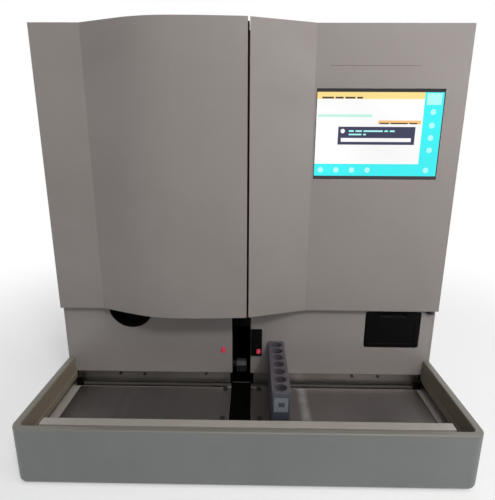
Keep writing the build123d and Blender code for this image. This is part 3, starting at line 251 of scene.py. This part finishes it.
# Eased edges: the small radius that every real edge has, and where it is rubbed.
eased_edge, edge_in, edge_out = new_group(
    "eased_edge", {"Radius": 0.0012}, {"Normal": "NodeSocketVector", "Rubbed": "NodeSocketFloat"})
rounded = place(eased_edge, "ShaderNodeBevel", {"Radius": edge_in.outputs["Radius"]}, samples=4)
flat = place(eased_edge, "ShaderNodeNewGeometry", {})
agree = place(eased_edge, "ShaderNodeVectorMath",
              {0: rounded.outputs[0], 1: flat.outputs["Normal"]}, operation="DOT_PRODUCT")
rubbed = place(eased_edge, "ShaderNodeMapRange",
               {"Value": agree.outputs["Value"], "From Min": 0.97, "From Max": 0.75})
eased_edge.links.new(rounded.outputs[0], edge_out.inputs["Normal"])
eased_edge.links.new(rubbed.outputs[0], edge_out.inputs["Rubbed"])


def blend(tree, amount, first, second):
    """The first colour, going over to the second by the amount."""
    mix = tree.nodes.new("ShaderNodeMix")
    mix.data_type = "RGBA"
    for socket, value in ((mix.inputs[0], amount), (mix.inputs[6], first), (mix.inputs[7], second)):
        if isinstance(value, bpy.types.NodeSocket):
            tree.links.new(value, socket)
        else:
            socket.default_value = value
    return mix.outputs[2]


def times(tree, value, factor):
    """A mask made weaker."""
    return place(tree, "ShaderNodeMath", {0: value, 1: factor}, operation="MULTIPLY").outputs[0]


def skin(name, colour, shade, gloss, grain=1400.0, depth=0.00002, marks=0.5, dust=0.25,
         edge=0.0012, edge_colour=None, sheen=0.5):
    """A painted or moulded skin: marks shade it, dust lies on it and its edges are eased.

    gloss is the roughness of the clean and of the marked surface."""
    material, tree = new_material(name)
    handled = use_group(tree, hand_marks).outputs["Mask"]
    eased = use_group(tree, eased_edge, Radius=edge)
    body = blend(tree, times(tree, handled, marks), colour, shade)
    rub = edge_colour or [min(1.0, 1.25 * c) for c in colour]
    body = blend(tree, times(tree, eased.outputs["Rubbed"], 0.45), body, rub)
    lying = use_group(tree, settled_dust, Amount=dust).outputs["Mask"]
    body = blend(tree, lying, body, srgb(172, 168, 160))
    rough = place(tree, "ShaderNodeMapRange",
                  {"Value": handled, "To Min": gloss[0], "To Max": gloss[1]})
    grains = use_group(tree, skin_grain, Scale=grain)
    bump = place(tree, "ShaderNodeBump",
                 {"Height": grains.outputs["Height"], "Strength": 0.6, "Distance": depth,
                  "Normal": eased.outputs["Normal"]})
    shell = place(tree, "ShaderNodeBsdfPrincipled",
                  {"Base Color": body, "Roughness": rough.outputs[0], "Normal": bump.outputs[0]})
    shell.inputs["Specular IOR Level"].default_value = sheen
    place(tree, "ShaderNodeOutputMaterial", {"Surface": shell.outputs[0]})
    return material


def dress(material, *names):
    """Gives CAD nodes their material."""
    for name in names:
        for slot in nodes[name].material_slots:
            slot.material = material


cover_lacquer = skin("cover_lacquer", srgb(138, 131, 127), srgb(128, 121, 117), (0.42, 0.58))
dress(cover_lacquer, "left_hood", "right_door")


# --- Seal between the doors ---
# A black rubber lip on the hood's edge closes the gap to the door, and a foam pad on the centre
# post closes it above. Both are glued on. Their black is painted shade: it fills the gap, which
# lies in shade, so that nothing pale shows through.
def add_piece(name, form, materials, body):
    """A new piece from its finished bmesh, riding on a body."""
    mesh = bpy.data.meshes.new(name)
    form.to_mesh(mesh)
    form.free()
    for material in materials:
        mesh.materials.append(material)
    piece = bpy.data.objects.new(name, mesh)
    scene.collection.objects.link(piece)
    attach(piece, body)
    return piece


def tint_faces(made, index):
    """Gives the faces of what an operator made one of the piece's materials."""
    faces = {face for vert in made["verts"] for face in vert.link_faces}
    for face in faces:
        face.material_index = index
    return faces


def slab(form, low, high, radius, index=0):
    """A block with rounded edges between two corners in millimetres, added to a bmesh."""
    low, high = Vector(low) / 1000.0, Vector(high) / 1000.0
    made = bmesh.ops.create_cube(form, size=1.0, matrix=Matrix.Translation((low + high) / 2)
                                 @ Matrix.Diagonal((*(high - low), 1.0)))
    faces = tint_faces(made, index)
    bmesh.ops.bevel(form, geom=list({edge for face in faces for edge in face.edges}),
                    affect="EDGES", offset=radius / 1000.0, segments=3, profile=0.5, material=-1)


# Painted shade: the black lip and pad fill the gap between the covers, which lies in shade.
gap_shade_rubber = skin("gap_shade_rubber", srgb(14, 14, 14), srgb(24, 23, 23), (0.7, 0.85), grain=900.0,
                   depth=0.00003, dust=0.15, edge=0.0004, edge_colour=srgb(34, 34, 34), sheen=0.15)
lip = bmesh.new()
slab(lip, (-2.45, -160.5, 179.6), (-0.2, -141.0, 587.0), 0.9)
add_piece("gap_lip", lip, [gap_shade_rubber], "hood")
pad = bmesh.new()
slab(pad, (-9.0, -112.0, 546.0), (7.0, -103.0, 587.2), 1.5)
add_piece("gap_pad", pad, [gap_shade_rubber], "case")


# --- Door's pinstripe ---
# One thin brown line is screen-printed across the door's flat part, over the display. The ink
# is a little glossier than the lacquer under it.
UPRIGHT = Matrix.Rotation(math.pi / 2, 4, "X")  # turns a flat patch to face the front
STRIPE_MIDDLE = (0.1713, -0.13403, 0.5384)
STRIPE_LENGTH, STRIPE_WIDTH = 0.1226, 0.0008
stripe_ink = skin("stripe_ink", srgb(108, 94, 90), srgb(120, 106, 101), (0.5, 0.6), grain=2000.0,
                  depth=0.000005, dust=0.0, edge=0.0001)
stripe = bmesh.new()
bmesh.ops.create_grid(stripe, x_segments=24, y_segments=1, size=0.5,
                      matrix=Matrix.Translation(STRIPE_MIDDLE) @ UPRIGHT
                      @ Matrix.Diagonal((STRIPE_LENGTH, STRIPE_WIDTH, 1.0, 1.0)))
add_piece("door_pinstripe", stripe, [stripe_ink], "door")


# --- Casing walls ---
# Folded steel sheet under the doors, at the sides, on the roof and behind, powder-coated in
# the same warm grey. The coat is a little rougher than the covers, with a fine orange peel.
wall_powder = skin("wall_powder", srgb(146, 140, 136), srgb(134, 128, 124), (0.5, 0.66),
                   grain=900.0, depth=0.00003, edge=0.0008)
dress(wall_powder, "lower_front_wall", "left_side_panel", "right_side_panel", "roof_panel",
      "rear_panel")


# --- Sample tray ---
# One deep moulding in a greener grey than the covers. Its inner skin is tinted olive-brown as
# painted shade, and the top of its rim is tinted warmer as painted light. The floor inside is a
# sheet in the covers' colour, with a band of painted shade along its rear slot, where the pushers'
# fingers run.
def coat(material):
    """A finished material's tree, its main shader and the colour that reaches it."""
    tree = material.node_tree
    shell = next(node for node in tree.nodes if node.type == "BSDF_PRINCIPLED")
    return tree, shell, shell.inputs["Base Color"].links[0].from_socket


def across_piece(tree):
    """The place on a piece: its coordinates, and the same in metres along each axis."""
    spot = place(tree, "ShaderNodeTexCoord", {})
    return spot, place(tree, "ShaderNodeSeparateXYZ", {0: spot.outputs["Object"]})


SIDE_SKIN = (0.2925, 0.2905)  # the inner skin starts between these distances from the middle
FRONT_SKIN = (-0.298, -0.2965)
RIM_TOP = (0.0845, 0.0865)
tray_moulding = skin("tray_moulding", srgb(117, 120, 118), srgb(107, 110, 107), (0.4, 0.56),
                     grain=1100.0, marks=0.6, dust=0.35, edge=0.0006)
tree, paint, clean = coat(tray_moulding)
spot, along = across_piece(tree)
# Painted shade: the inner skin, inside the side and front limits, is tinted olive-brown.
sideways = place(tree, "ShaderNodeMath", {0: along.outputs["X"]}, operation="ABSOLUTE")
between = place(tree, "ShaderNodeMapRange",
                {"Value": sideways.outputs[0], "From Min": SIDE_SKIN[0], "From Max": SIDE_SKIN[1]})
behind = place(tree, "ShaderNodeMapRange",
               {"Value": along.outputs["Y"], "From Min": FRONT_SKIN[0], "From Max": FRONT_SKIN[1]})
shaded_inner_skin = place(tree, "ShaderNodeMath", {0: between.outputs[0], 1: behind.outputs[0]},
                   operation="MULTIPLY")
# Painted light: the top of the rim is tinted warmer.
lit_rim_top = place(tree, "ShaderNodeMapRange",
                    {"Value": along.outputs["Z"], "From Min": RIM_TOP[0], "From Max": RIM_TOP[1]})
warm = blend(tree, lit_rim_top.outputs[0], clean, srgb(118, 115, 107))
tree.links.new(blend(tree, shaded_inner_skin.outputs[0], warm, srgb(128, 119, 103)),
               paint.inputs["Base Color"])
dress(tray_moulding, "tray_surround")

REAR_SHADE = (-0.136, -0.127)
floor_moulding = skin("floor_moulding", srgb(160, 154, 146), srgb(141, 134, 126), (0.42, 0.6),
                      marks=0.7)
tree, paint, clean = coat(floor_moulding)
spot, along = across_piece(tree)
# Painted shade: a dark band along the rear of the floor, under the rail.
shaded_rear_strip = place(tree, "ShaderNodeMapRange",
                   {"Value": along.outputs["Y"], "From Min": REAR_SHADE[0],
                    "From Max": REAR_SHADE[1], "To Max": 0.88})
tree.links.new(blend(tree, shaded_rear_strip.outputs[0], clean, srgb(46, 44, 42)),
               paint.inputs["Base Color"])
dress(floor_moulding, "tray_floor")


# --- Steel plates and rails ---
# Stainless sheet with the grain of its rolling along X on the rails and along Y on the plates.
# A band of painted highlight lies over the right plate, beside where the racks stand, and the
# plates are painted lighter towards the right. The rails under the wall are painted darker, as
# painted shade.
brushed_lines, lines_in, lines_out = new_group(
    "brushed_lines", {"Across X": 1500.0, "Across Y": 18.0, "Across Z": 1500.0},
    {"Height": "NodeSocketFloat", "Streaks": "NodeSocketFloat"})
spot = place(brushed_lines, "ShaderNodeTexCoord", {})
pull = place(brushed_lines, "ShaderNodeCombineXYZ",
             {"X": lines_in.outputs["Across X"], "Y": lines_in.outputs["Across Y"],
              "Z": lines_in.outputs["Across Z"]})
drawn = place(brushed_lines, "ShaderNodeVectorMath",
              {0: spot.outputs["Object"], 1: pull.outputs[0]}, operation="MULTIPLY")
fine = place(brushed_lines, "ShaderNodeTexNoise",
             {"Vector": drawn.outputs[0], "Scale": 1.0, "Detail": 4.0})
coarse = place(brushed_lines, "ShaderNodeTexNoise",
               {"Vector": drawn.outputs[0], "Scale": 0.045, "Detail": 3.0})
brushed_lines.links.new(fine.outputs[0], lines_out.inputs["Height"])
brushed_lines.links.new(coarse.outputs[0], lines_out.inputs["Streaks"])


def bare_metal(name, colour, bright, gloss, lines, marks=0.4, dust=0.2, depth=0.00001,
               edge=0.0005):
    """Unpainted metal with drawn lines: lines are their counts per metre across X, Y and Z."""
    material, tree = new_material(name)
    brushed = use_group(tree, brushed_lines,
                        **dict(zip(("Across X", "Across Y", "Across Z"), lines)))
    handled = use_group(tree, hand_marks, Smears=11.0).outputs["Mask"]
    eased = use_group(tree, eased_edge, Radius=edge)
    streak = place(tree, "ShaderNodeMapRange",
                   {"Value": brushed.outputs["Streaks"], "From Min": 0.35, "From Max": 0.7})
    body = blend(tree, streak.outputs[0], colour, bright)
    body = blend(tree, times(tree, handled, marks), body, [0.6 * c for c in colour])
    lying = use_group(tree, settled_dust, Amount=dust).outputs["Mask"]
    body = blend(tree, lying, body, srgb(150, 146, 140))
    fine_rough = place(tree, "ShaderNodeMapRange",
                       {"Value": brushed.outputs["Height"], "From Min": 0.3, "From Max": 0.7,
                        "To Min": gloss[0], "To Max": gloss[1]})
    bump = place(tree, "ShaderNodeBump",
                 {"Height": brushed.outputs["Height"], "Strength": 0.5, "Distance": depth,
                  "Normal": eased.outputs["Normal"]})
    metal = place(tree, "ShaderNodeBsdfPrincipled",
                  {"Base Color": body, "Roughness": fine_rough.outputs[0],
                   "Normal": bump.outputs[0]})
    metal.inputs["Metallic"].default_value = 1.0
    place(tree, "ShaderNodeOutputMaterial", {"Surface": metal.outputs[0]})
    return material


PLATE_SHADE = (-0.25, 0.05)  # painted light: the sheet turns lighter towards the right, between these places
# Painted highlight: a bright band over the right plate, given by its middle, its outer edge and its
# core.
GLINT_MIDDLE, GLINT_EDGE, GLINT_CORE = 0.0885, 0.0105, 0.001
plate_steel = bare_metal("plate_steel", srgb(118, 114, 113), srgb(126, 122, 121), (0.36, 0.5),
                         (1500.0, 16.0, 1500.0), marks=0.25, dust=0.1)
tree, sheet, clean = coat(plate_steel)
spot, across = across_piece(tree)
# Painted light: the plates turn lighter towards the right.
lit_to_right = place(tree, "ShaderNodeMapRange",
                  {"Value": across.outputs["X"], "From Min": PLATE_SHADE[0],
                   "From Max": PLATE_SHADE[1]})
shaded = blend(tree, lit_to_right.outputs[0], clean, srgb(138, 133, 132))
# The painted highlight band, broken up by noise.
off_glint = place(tree, "ShaderNodeMath", {0: across.outputs["X"], 1: GLINT_MIDDLE},
                  operation="SUBTRACT")
distance = place(tree, "ShaderNodeMath", {0: off_glint.outputs[0]}, operation="ABSOLUTE")
glint_band = place(tree, "ShaderNodeMapRange",
              {"Value": distance.outputs[0], "From Min": GLINT_EDGE, "From Max": GLINT_CORE},
              interpolation_type="SMOOTHSTEP")
glint_mottle = place(tree, "ShaderNodeTexNoise",
             {"Vector": spot.outputs["Object"], "Scale": 60.0, "Detail": 4.0})
painted_glint = place(tree, "ShaderNodeMath", {0: glint_band.outputs[0], 1: glint_mottle.outputs[0]},
             operation="MULTIPLY", use_clamp=True)
tree.links.new(blend(tree, painted_glint.outputs[0], shaded, srgb(232, 231, 236)),
               sheet.inputs["Base Color"])
dress(plate_steel, "left_tray_plate", "right_tray_plate")

rail_steel = bare_metal("rail_steel", srgb(158, 154, 150), srgb(182, 178, 174), (0.3, 0.46),
                        (14.0, 1500.0, 1500.0))
dress(rail_steel, "guide_rods", "hinge_pins", "syringe_plunger")
# Painted shade: a darker copy of the rail steel for the rear rails, which stand under the wall.
shaded_rail_steel = bare_metal("shaded_rail_steel", srgb(122, 118, 114), srgb(140, 136, 132),
                             (0.34, 0.5), (14.0, 1500.0, 1500.0))
dress(shaded_rail_steel, "rear_rails")


# --- Frames and deck ---
# Folded zinc-plated sheet carries everything inside. The zinc has gone dull and blotchy.
# Brackets and small screws are blackened steel, and the bridge and the pump are aluminium.
zinc_plate = bare_metal("zinc_plate", srgb(150, 152, 156), srgb(190, 192, 196), (0.32, 0.5),
                        (160.0, 160.0, 60.0), marks=0.5)
dress(zinc_plate, "left_frame", "right_frame", "cross_beam", "instrument_deck", "base_pan",
      "bin_runners", "power_supply")
dark_steel = bare_metal("dark_steel", srgb(58, 58, 62), srgb(84, 84, 88), (0.36, 0.52),
                        (300.0, 300.0, 300.0))
dress(dark_steel, "tray_screws", "hinge_brackets", "puller_motor", "display_module")
aluminium = bare_metal("aluminium", srgb(188, 190, 193), srgb(208, 210, 213), (0.28, 0.42),
                       (30.0, 900.0, 900.0))
dress(aluminium, "conveyor_rails", "probe_rail", "probe_carriage", "puller_idler_pulley",
      "puller_drive_pulley", "syringe_pump")


# --- Black mouldings ---
# Lane, tunnel, pushers, finger cup, waste drawer and the small electrical pieces are moulded in
# black, slightly textured plastic. The lane is matt and its black is painted darker than the rest,
# as painted shade for the slot, and the drawer's front is glossier. Feet and belt are rubber.
black_plastic = skin("black_plastic", srgb(8, 8, 9), srgb(14, 14, 15), (0.5, 0.66), grain=1800.0,
                     dust=0.05, edge=0.0006, edge_colour=srgb(30, 30, 32), sheen=0.07)
dress(black_plastic, "rack_tunnel", "left_rack_pusher", "right_rack_pusher", "finger_cup",
      "barcode_reader", "centre_post", "reader_head", "fan_housing", "fan_rotor", "power_inlet",
      "power_switch")
# Painted shade: the lane's black is darker than the other black mouldings.
shaded_lane_plastic = skin("shaded_lane_plastic", srgb(3, 4, 3), srgb(7, 8, 7), (0.6, 0.75), grain=1800.0,
                    dust=0.004, edge=0.0006, edge_colour=srgb(14, 15, 14), sheen=0.02)
dress(shaded_lane_plastic, "lane_bed")
drawer_plastic = skin("drawer_plastic", srgb(8, 8, 9), srgb(13, 13, 14), (0.42, 0.58),
                      grain=2200.0, depth=0.00001, dust=0.05, edge=0.0006,
                      edge_colour=srgb(28, 28, 30), sheen=0.06)
dress(drawer_plastic, "waste_bin")
rubber = skin("rubber", srgb(30, 30, 30), srgb(44, 43, 42), (0.7, 0.85), grain=700.0,
              depth=0.00004, dust=0.5, edge_colour=srgb(54, 53, 52))
dress(rubber, "rubber_feet", "puller_belt")


# --- White and grey mouldings of the works ---
# Comb, hopper, chute, probe arm and wash cup are milled and moulded from white acetal. The
# drum and the puller's block are dark grey.
white_acetal = skin("white_acetal", srgb(214, 213, 206), srgb(198, 194, 184), (0.34, 0.5),
                    grain=2400.0, depth=0.00001)
dress(white_acetal, "conveyor_comb", "strip_hopper", "waste_chute", "probe_arm", "wash_station")
grey_acetal = skin("grey_acetal", srgb(34, 35, 36), srgb(26, 27, 28), (0.42, 0.56),
                   grain=2400.0, depth=0.00001, sheen=0.3)
dress(grey_acetal, "strip_drum", "rack_puller")


# --- Hopper lid ---
# Smoky clear acrylic, moulded with a lip, so that the strips in the hopper can be seen.
# Fingers have left it hazy in places.
smoky_clear, tree = new_material("smoky_clear")
handled = use_group(tree, hand_marks, Smears=16.0).outputs["Mask"]
haze = place(tree, "ShaderNodeMapRange", {"Value": handled, "To Min": 0.05, "To Max": 0.2})
tint = blend(tree, handled, srgb(206, 212, 214), srgb(186, 192, 194))
acrylic = place(tree, "ShaderNodeBsdfPrincipled",
                {"Base Color": tint, "Roughness": haze.outputs[0]})
acrylic.inputs["Transmission Weight"].default_value = 0.85
acrylic.inputs["IOR"].default_value = 1.49
place(tree, "ShaderNodeOutputMaterial", {"Surface": acrylic.outputs[0]})
dress(smoky_clear, "hopper_lid")


# --- Sample rack ---
# A tube rack moulded in frosted, slightly violet grey plastic that lets some light through.
# Its edges are scuffed paler.
frosted = skin("frosted_rack", srgb(118, 112, 121), srgb(102, 97, 105), (0.3, 0.48),
               grain=1600.0, marks=0.6, dust=0.1, edge=0.0008, edge_colour=srgb(150, 147, 154))
frosted_shell = coat(frosted)[1]
frosted_shell.inputs["Subsurface Weight"].default_value = 0.35
frosted_shell.inputs["Subsurface Radius"].default_value = (0.006, 0.006, 0.007)
frosted_shell.inputs["Transmission Weight"].default_value = 0.55
dress(frosted, "sample_rack")


# --- Rack's end label ---
# A slate-coloured holder is clipped to the rack's front end. A plain pale paper label lies in
# it, with one blank dark field.
slate = skin("label_slate", srgb(62, 66, 74), srgb(50, 54, 61), (0.4, 0.55), grain=1600.0,
             edge=0.0004)
label_paper = skin("label_paper", srgb(106, 112, 119), srgb(95, 100, 106), (0.7, 0.8),
                   grain=3000.0, depth=0.00001, edge=0.0002)
label_field = skin("label_field", srgb(48, 55, 66), srgb(60, 67, 78), (0.6, 0.7),
                   grain=3000.0, depth=0.00001, edge=0.0001)
holder = bmesh.new()
slab(holder, (34.4, -269.7, 80.0), (56.8, -269.0, 119.5), 0.3, 0)
slab(holder, (36.0, -269.9, 91.0), (54.6, -269.65, 112.0), 0.08, 1)
slab(holder, (41.8, -269.98, 98.6), (50.2, -269.85, 105.4), 0.04, 2)
add_piece("rack_end_label", holder, [slate, label_paper, label_field], "rack")


# --- Touch display ---
# The glass is dark and glossy with a black border. A lit picture lies behind it: a pale field,
# a yellow head bar, a dark message box and turquoise button bars with plain round buttons.
glass, tree = new_material("screen_glass")
handled = use_group(tree, hand_marks, Smears=20.0).outputs["Mask"]
finger_haze = place(tree, "ShaderNodeMapRange", {"Value": handled, "To Min": 0.04, "To Max": 0.16})
depth_tint = blend(tree, handled, srgb(14, 18, 22), srgb(24, 28, 32))
pane = place(tree, "ShaderNodeBsdfPrincipled",
             {"Base Color": depth_tint, "Roughness": finger_haze.outputs[0]})
place(tree, "ShaderNodeOutputMaterial", {"Surface": pane.outputs[0]})
dress(glass, "touch_glass")

# Backlight: a little brighter in the middle, with the fine lines of the panel's pixels.
backlight, back_in, back_out = new_group(
    "backlight", {"Evenness": 0.9}, {"Light": "NodeSocketFloat"})
spot = place(backlight, "ShaderNodeTexCoord", {})
patch = place(backlight, "ShaderNodeTexNoise",
              {"Vector": spot.outputs["Object"], "Scale": 9.0, "Detail": 1.0})
pixels = place(backlight, "ShaderNodeTexWave", {"Vector": spot.outputs["Object"], "Scale": 900.0},
               bands_direction="Z")
even = place(backlight, "ShaderNodeMapRange",
             {"Value": patch.outputs[0], "From Min": 0.3, "From Max": 0.7,
              "To Min": back_in.outputs["Evenness"]})
lined = place(backlight, "ShaderNodeMapRange", {"Value": pixels.outputs["Fac"], "To Min": 0.97})
shine = place(backlight, "ShaderNodeMath", {0: even.outputs[0], 1: lined.outputs[0]},
              operation="MULTIPLY")
backlight.links.new(shine.outputs[0], back_out.inputs["Light"])


def lit(name, colour):
    """One colour of the lit picture."""
    material, tree = new_material(name)
    light = use_group(tree, backlight).outputs["Light"]
    shown = blend(tree, light, (0.0, 0.0, 0.0, 1.0), colour)
    picture = place(tree, "ShaderNodeBsdfPrincipled",
                    {"Base Color": (0.01, 0.01, 0.012, 1.0), "Emission Color": shown,
                     "Roughness": 0.08})
    picture.inputs["Emission Strength"].default_value = 1.0
    place(tree, "ShaderNodeOutputMaterial", {"Surface": picture.outputs[0]})
    return material


PICTURE = [("field", (255, 255, 255)), ("head_bar", (255, 226, 140)), ("ink", (52, 44, 30)),
           ("pale_bar", (196, 246, 232)), ("orange_bar", (250, 196, 112)),
           ("message_box", (34, 38, 78)), ("turquoise", (36, 244, 248)),
           ("button", (176, 255, 252)), ("strip", (30, 26, 34))]
TINT = {name: number for number, (name, colour) in enumerate(PICTURE)}
GLASS_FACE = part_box("touch_glass")[0].y
LAYER = 0.00003  # the picture's layers stand this far apart, one before the other
picture_form = bmesh.new()


def tile(x, z, tint, layer):
    """A flat patch of the picture from two (low, high) pairs in millimetres of the door."""
    middle = Vector(((x[0] + x[1]) / 2000.0, GLASS_FACE - layer * LAYER, (z[0] + z[1]) / 2000.0))
    size = Matrix.Diagonal(((x[1] - x[0]) / 1000.0, (z[1] - z[0]) / 1000.0, 1.0, 1.0))
    made = bmesh.ops.create_grid(picture_form, x_segments=1, y_segments=1, size=0.5,
                                 matrix=Matrix.Translation(middle) @ UPRIGHT @ size)
    tint_faces(made, TINT[tint])


def button(x, z, radius, tint, layer):
    """A round patch of the picture."""
    middle = Vector((x / 1000.0, GLASS_FACE - layer * LAYER, z / 1000.0))
    made = bmesh.ops.create_circle(picture_form, cap_ends=True, segments=24,
                                   radius=radius / 1000.0,
                                   matrix=Matrix.Translation(middle) @ UPRIGHT)
    tint_faces(made, TINT[tint])


def dashes(start, lengths, z, height, tint, layer):
    """A row of short bars where a real screen has words."""
    x = start
    for length in lengths:
        tile((x, x + length), (z, z + height), tint, layer)
        x += length + 2.4


# The bars and the message box.
tile((94.0, 243.0), (407.0, 504.5), "field", 1)
tile((94.0, 243.0), (495.4, 504.5), "head_bar", 2)
dashes(101.0, (16.0, 11.0, 14.0, 8.0), 495.8, 2.4, "ink", 3)
tile((96.0, 172.0), (471.4, 475.0), "pale_bar", 2)
tile((181.0, 241.0), (462.0, 467.0), "orange_bar", 2)
dashes(183.0, (13.0, 24.0, 11.0), 462.0, 1.9, "ink", 3)
tile((125.5, 234.0), (433.8, 458.4), "message_box", 2)
button(132.0, 452.4, 3.0, "field", 3)
dashes(140.6, (7.0, 9.0, 27.0, 5.0, 7.0), 451.4, 2.2, "button", 3)
dashes(140.6, (18.0, 4.0), 446.8, 2.0, "button", 3)
tile((130.0, 229.0), (437.8, 443.0), "field", 3)
# The button bars, at the right and below.
BUTTON = 3.9
tile((243.0, 269.4), (390.0, 504.5), "turquoise", 1)
tile((94.0, 243.0), (390.0, 407.0), "turquoise", 1)
tile((246.0, 266.4), (488.0, 503.4), "button", 2)
for button_z in (478.5, 460.5, 443.5, 426.5):
    button(256.5, button_z, BUTTON, "button", 2)
for button_x in (103.0, 125.5, 148.0, 170.5, 254.5):
    button(button_x, 398.3, BUTTON, "button", 2)
tile((94.0, 269.4), (385.8, 390.0), "strip", 1)
add_piece("screen_picture", picture_form,
          [lit("lit_" + name, srgb(*colour)) for name, colour in PICTURE], "door")


# --- Red lamps ---
# Two small lenses beside the slot glow red: moulded plastic with a lamp behind it. Their cores
# are paler than their rims.
red_lens, tree = new_material("red_lens")
spot = place(tree, "ShaderNodeTexCoord", {})
ripple = place(tree, "ShaderNodeTexNoise", {"Vector": spot.outputs["Object"], "Scale": 500.0})
core = place(tree, "ShaderNodeMapRange",
             {"Value": ripple.outputs[0], "From Min": 0.35, "From Max": 0.65})
glow = blend(tree, core.outputs[0], srgb(190, 20, 60), srgb(255, 96, 130))
lens = place(tree, "ShaderNodeBsdfPrincipled",
             {"Base Color": srgb(150, 12, 30), "Emission Color": glow, "Roughness": 0.2})
lens.inputs["Emission Strength"].default_value = 0.42
place(tree, "ShaderNodeOutputMaterial", {"Surface": lens.outputs[0]})
dress(red_lens, "slot_lamps")


# --- Boards ---
# The control board: green solder mask over copper tracks. The black packages on it stand
# nearer to the front than the board's own face.
BOARD_FACE = 0.2758
board, tree = new_material("board_green")
spot, part = across_piece(tree)
tracks = place(tree, "ShaderNodeTexBrick",
               {"Vector": spot.outputs["Object"], "Scale": 90.0, "Color1": srgb(18, 74, 44),
                "Color2": srgb(22, 88, 52), "Mortar": srgb(58, 128, 84), "Mortar Size": 0.03})
standing = place(tree, "ShaderNodeMath", {0: part.outputs["Y"], 1: BOARD_FACE},
                 operation="LESS_THAN")
packages = blend(tree, standing.outputs[0], tracks.outputs["Color"], srgb(28, 28, 30))
solder = place(tree, "ShaderNodeBsdfPrincipled", {"Base Color": packages, "Roughness": 0.35})
place(tree, "ShaderNodeOutputMaterial", {"Surface": solder.outputs[0]})
dress(board, "main_board")


# --- Test strips ---
# White plastic strips, each with a row of small reagent pads glued on. The pads are soaked
# blotting paper, each kind in its own pale colour.
strip_white = skin("strip_white", srgb(226, 226, 222), srgb(212, 211, 205), (0.3, 0.42),
                   grain=2600.0, depth=0.00001, dust=0.05)
dress(strip_white, "test_strips")
PAD_TINTS = ((226, 205, 120), (232, 190, 160), (196, 214, 150), (238, 226, 170),
             (214, 160, 120), (170, 196, 190))
PADS, PAD_START, PAD_PITCH = 10, 0.012, 0.0072
PAD_SIZE = (0.0046, 0.005, 0.0004)
strip_low, strip_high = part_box("test_strips")
strip_edges = sorted({round(vert.co.x, 4) for vert in nodes["test_strips"].data.vertices})
pad_form = bmesh.new()
for low, high in zip(strip_edges[::2], strip_edges[1::2]):
    for number in range(PADS):
        centre = Vector(((low + high) / 2, strip_low.y + PAD_START + number * PAD_PITCH,
                         strip_high.z + PAD_SIZE[2] / 2))
        made = bmesh.ops.create_cube(pad_form, size=1.0, matrix=Matrix.Translation(centre)
                                     @ Matrix.Diagonal((*PAD_SIZE, 1.0)))
        tint_faces(made, number % len(PAD_TINTS))
papers = [skin(f"pad_paper_{number}", srgb(*colour), srgb(*[0.82 * c for c in colour]),
               (0.8, 0.9), grain=3000.0, edge=0.0002) for number, colour in enumerate(PAD_TINTS)]
add_piece("reagent_pads", pad_form, papers, "case")


# --- Screws of the rear cover and the fan ---
# Zinc-plated pan-head screws with a round socket, turned into clips behind the sheet. Each
# head is turned from its profile: radius and rise in millimetres, from the socket outwards.
HEAD = ((0.0, 0.35), (1.3, 0.35), (1.45, 1.2), (2.2, 1.15), (3.0, 0.7), (3.2, 0.0))
SIDE_X, SIDE_Z = 0.292, (0.03, 0.2, 0.38, 0.56)
FAN_X, FAN_Z, FAN_SCREW = -0.16, 0.42, 0.0465
rear_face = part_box("rear_panel")[1].y
screw_places = [(x, z) for x in (-SIDE_X, SIDE_X) for z in SIDE_Z]
screw_places += [(-0.06, 0.576), (0.16, 0.576), (-0.1, 0.022), (0.05, 0.022)]
screw_places += [(FAN_X + dx, FAN_Z + dz) for dx in (-FAN_SCREW, FAN_SCREW)
                 for dz in (-FAN_SCREW, FAN_SCREW)]
screw_form = bmesh.new()
for x, z in screw_places:
    profile = [screw_form.verts.new((x + radius / 1000.0, rear_face + rise / 1000.0, z))
               for radius, rise in HEAD]
    edges = [screw_form.edges.new(pair) for pair in zip(profile, profile[1:])]
    bmesh.ops.spin(screw_form, geom=profile + edges, cent=(x, rear_face, z),
                   axis=(0.0, 1.0, 0.0), angle=2 * math.pi, steps=20, use_merge=True)
bmesh.ops.remove_doubles(screw_form, verts=screw_form.verts, dist=0.00001)
bmesh.ops.recalc_face_normals(screw_form, faces=screw_form.faces)
add_piece("rear_cover_screws", screw_form, [rail_steel], "case")
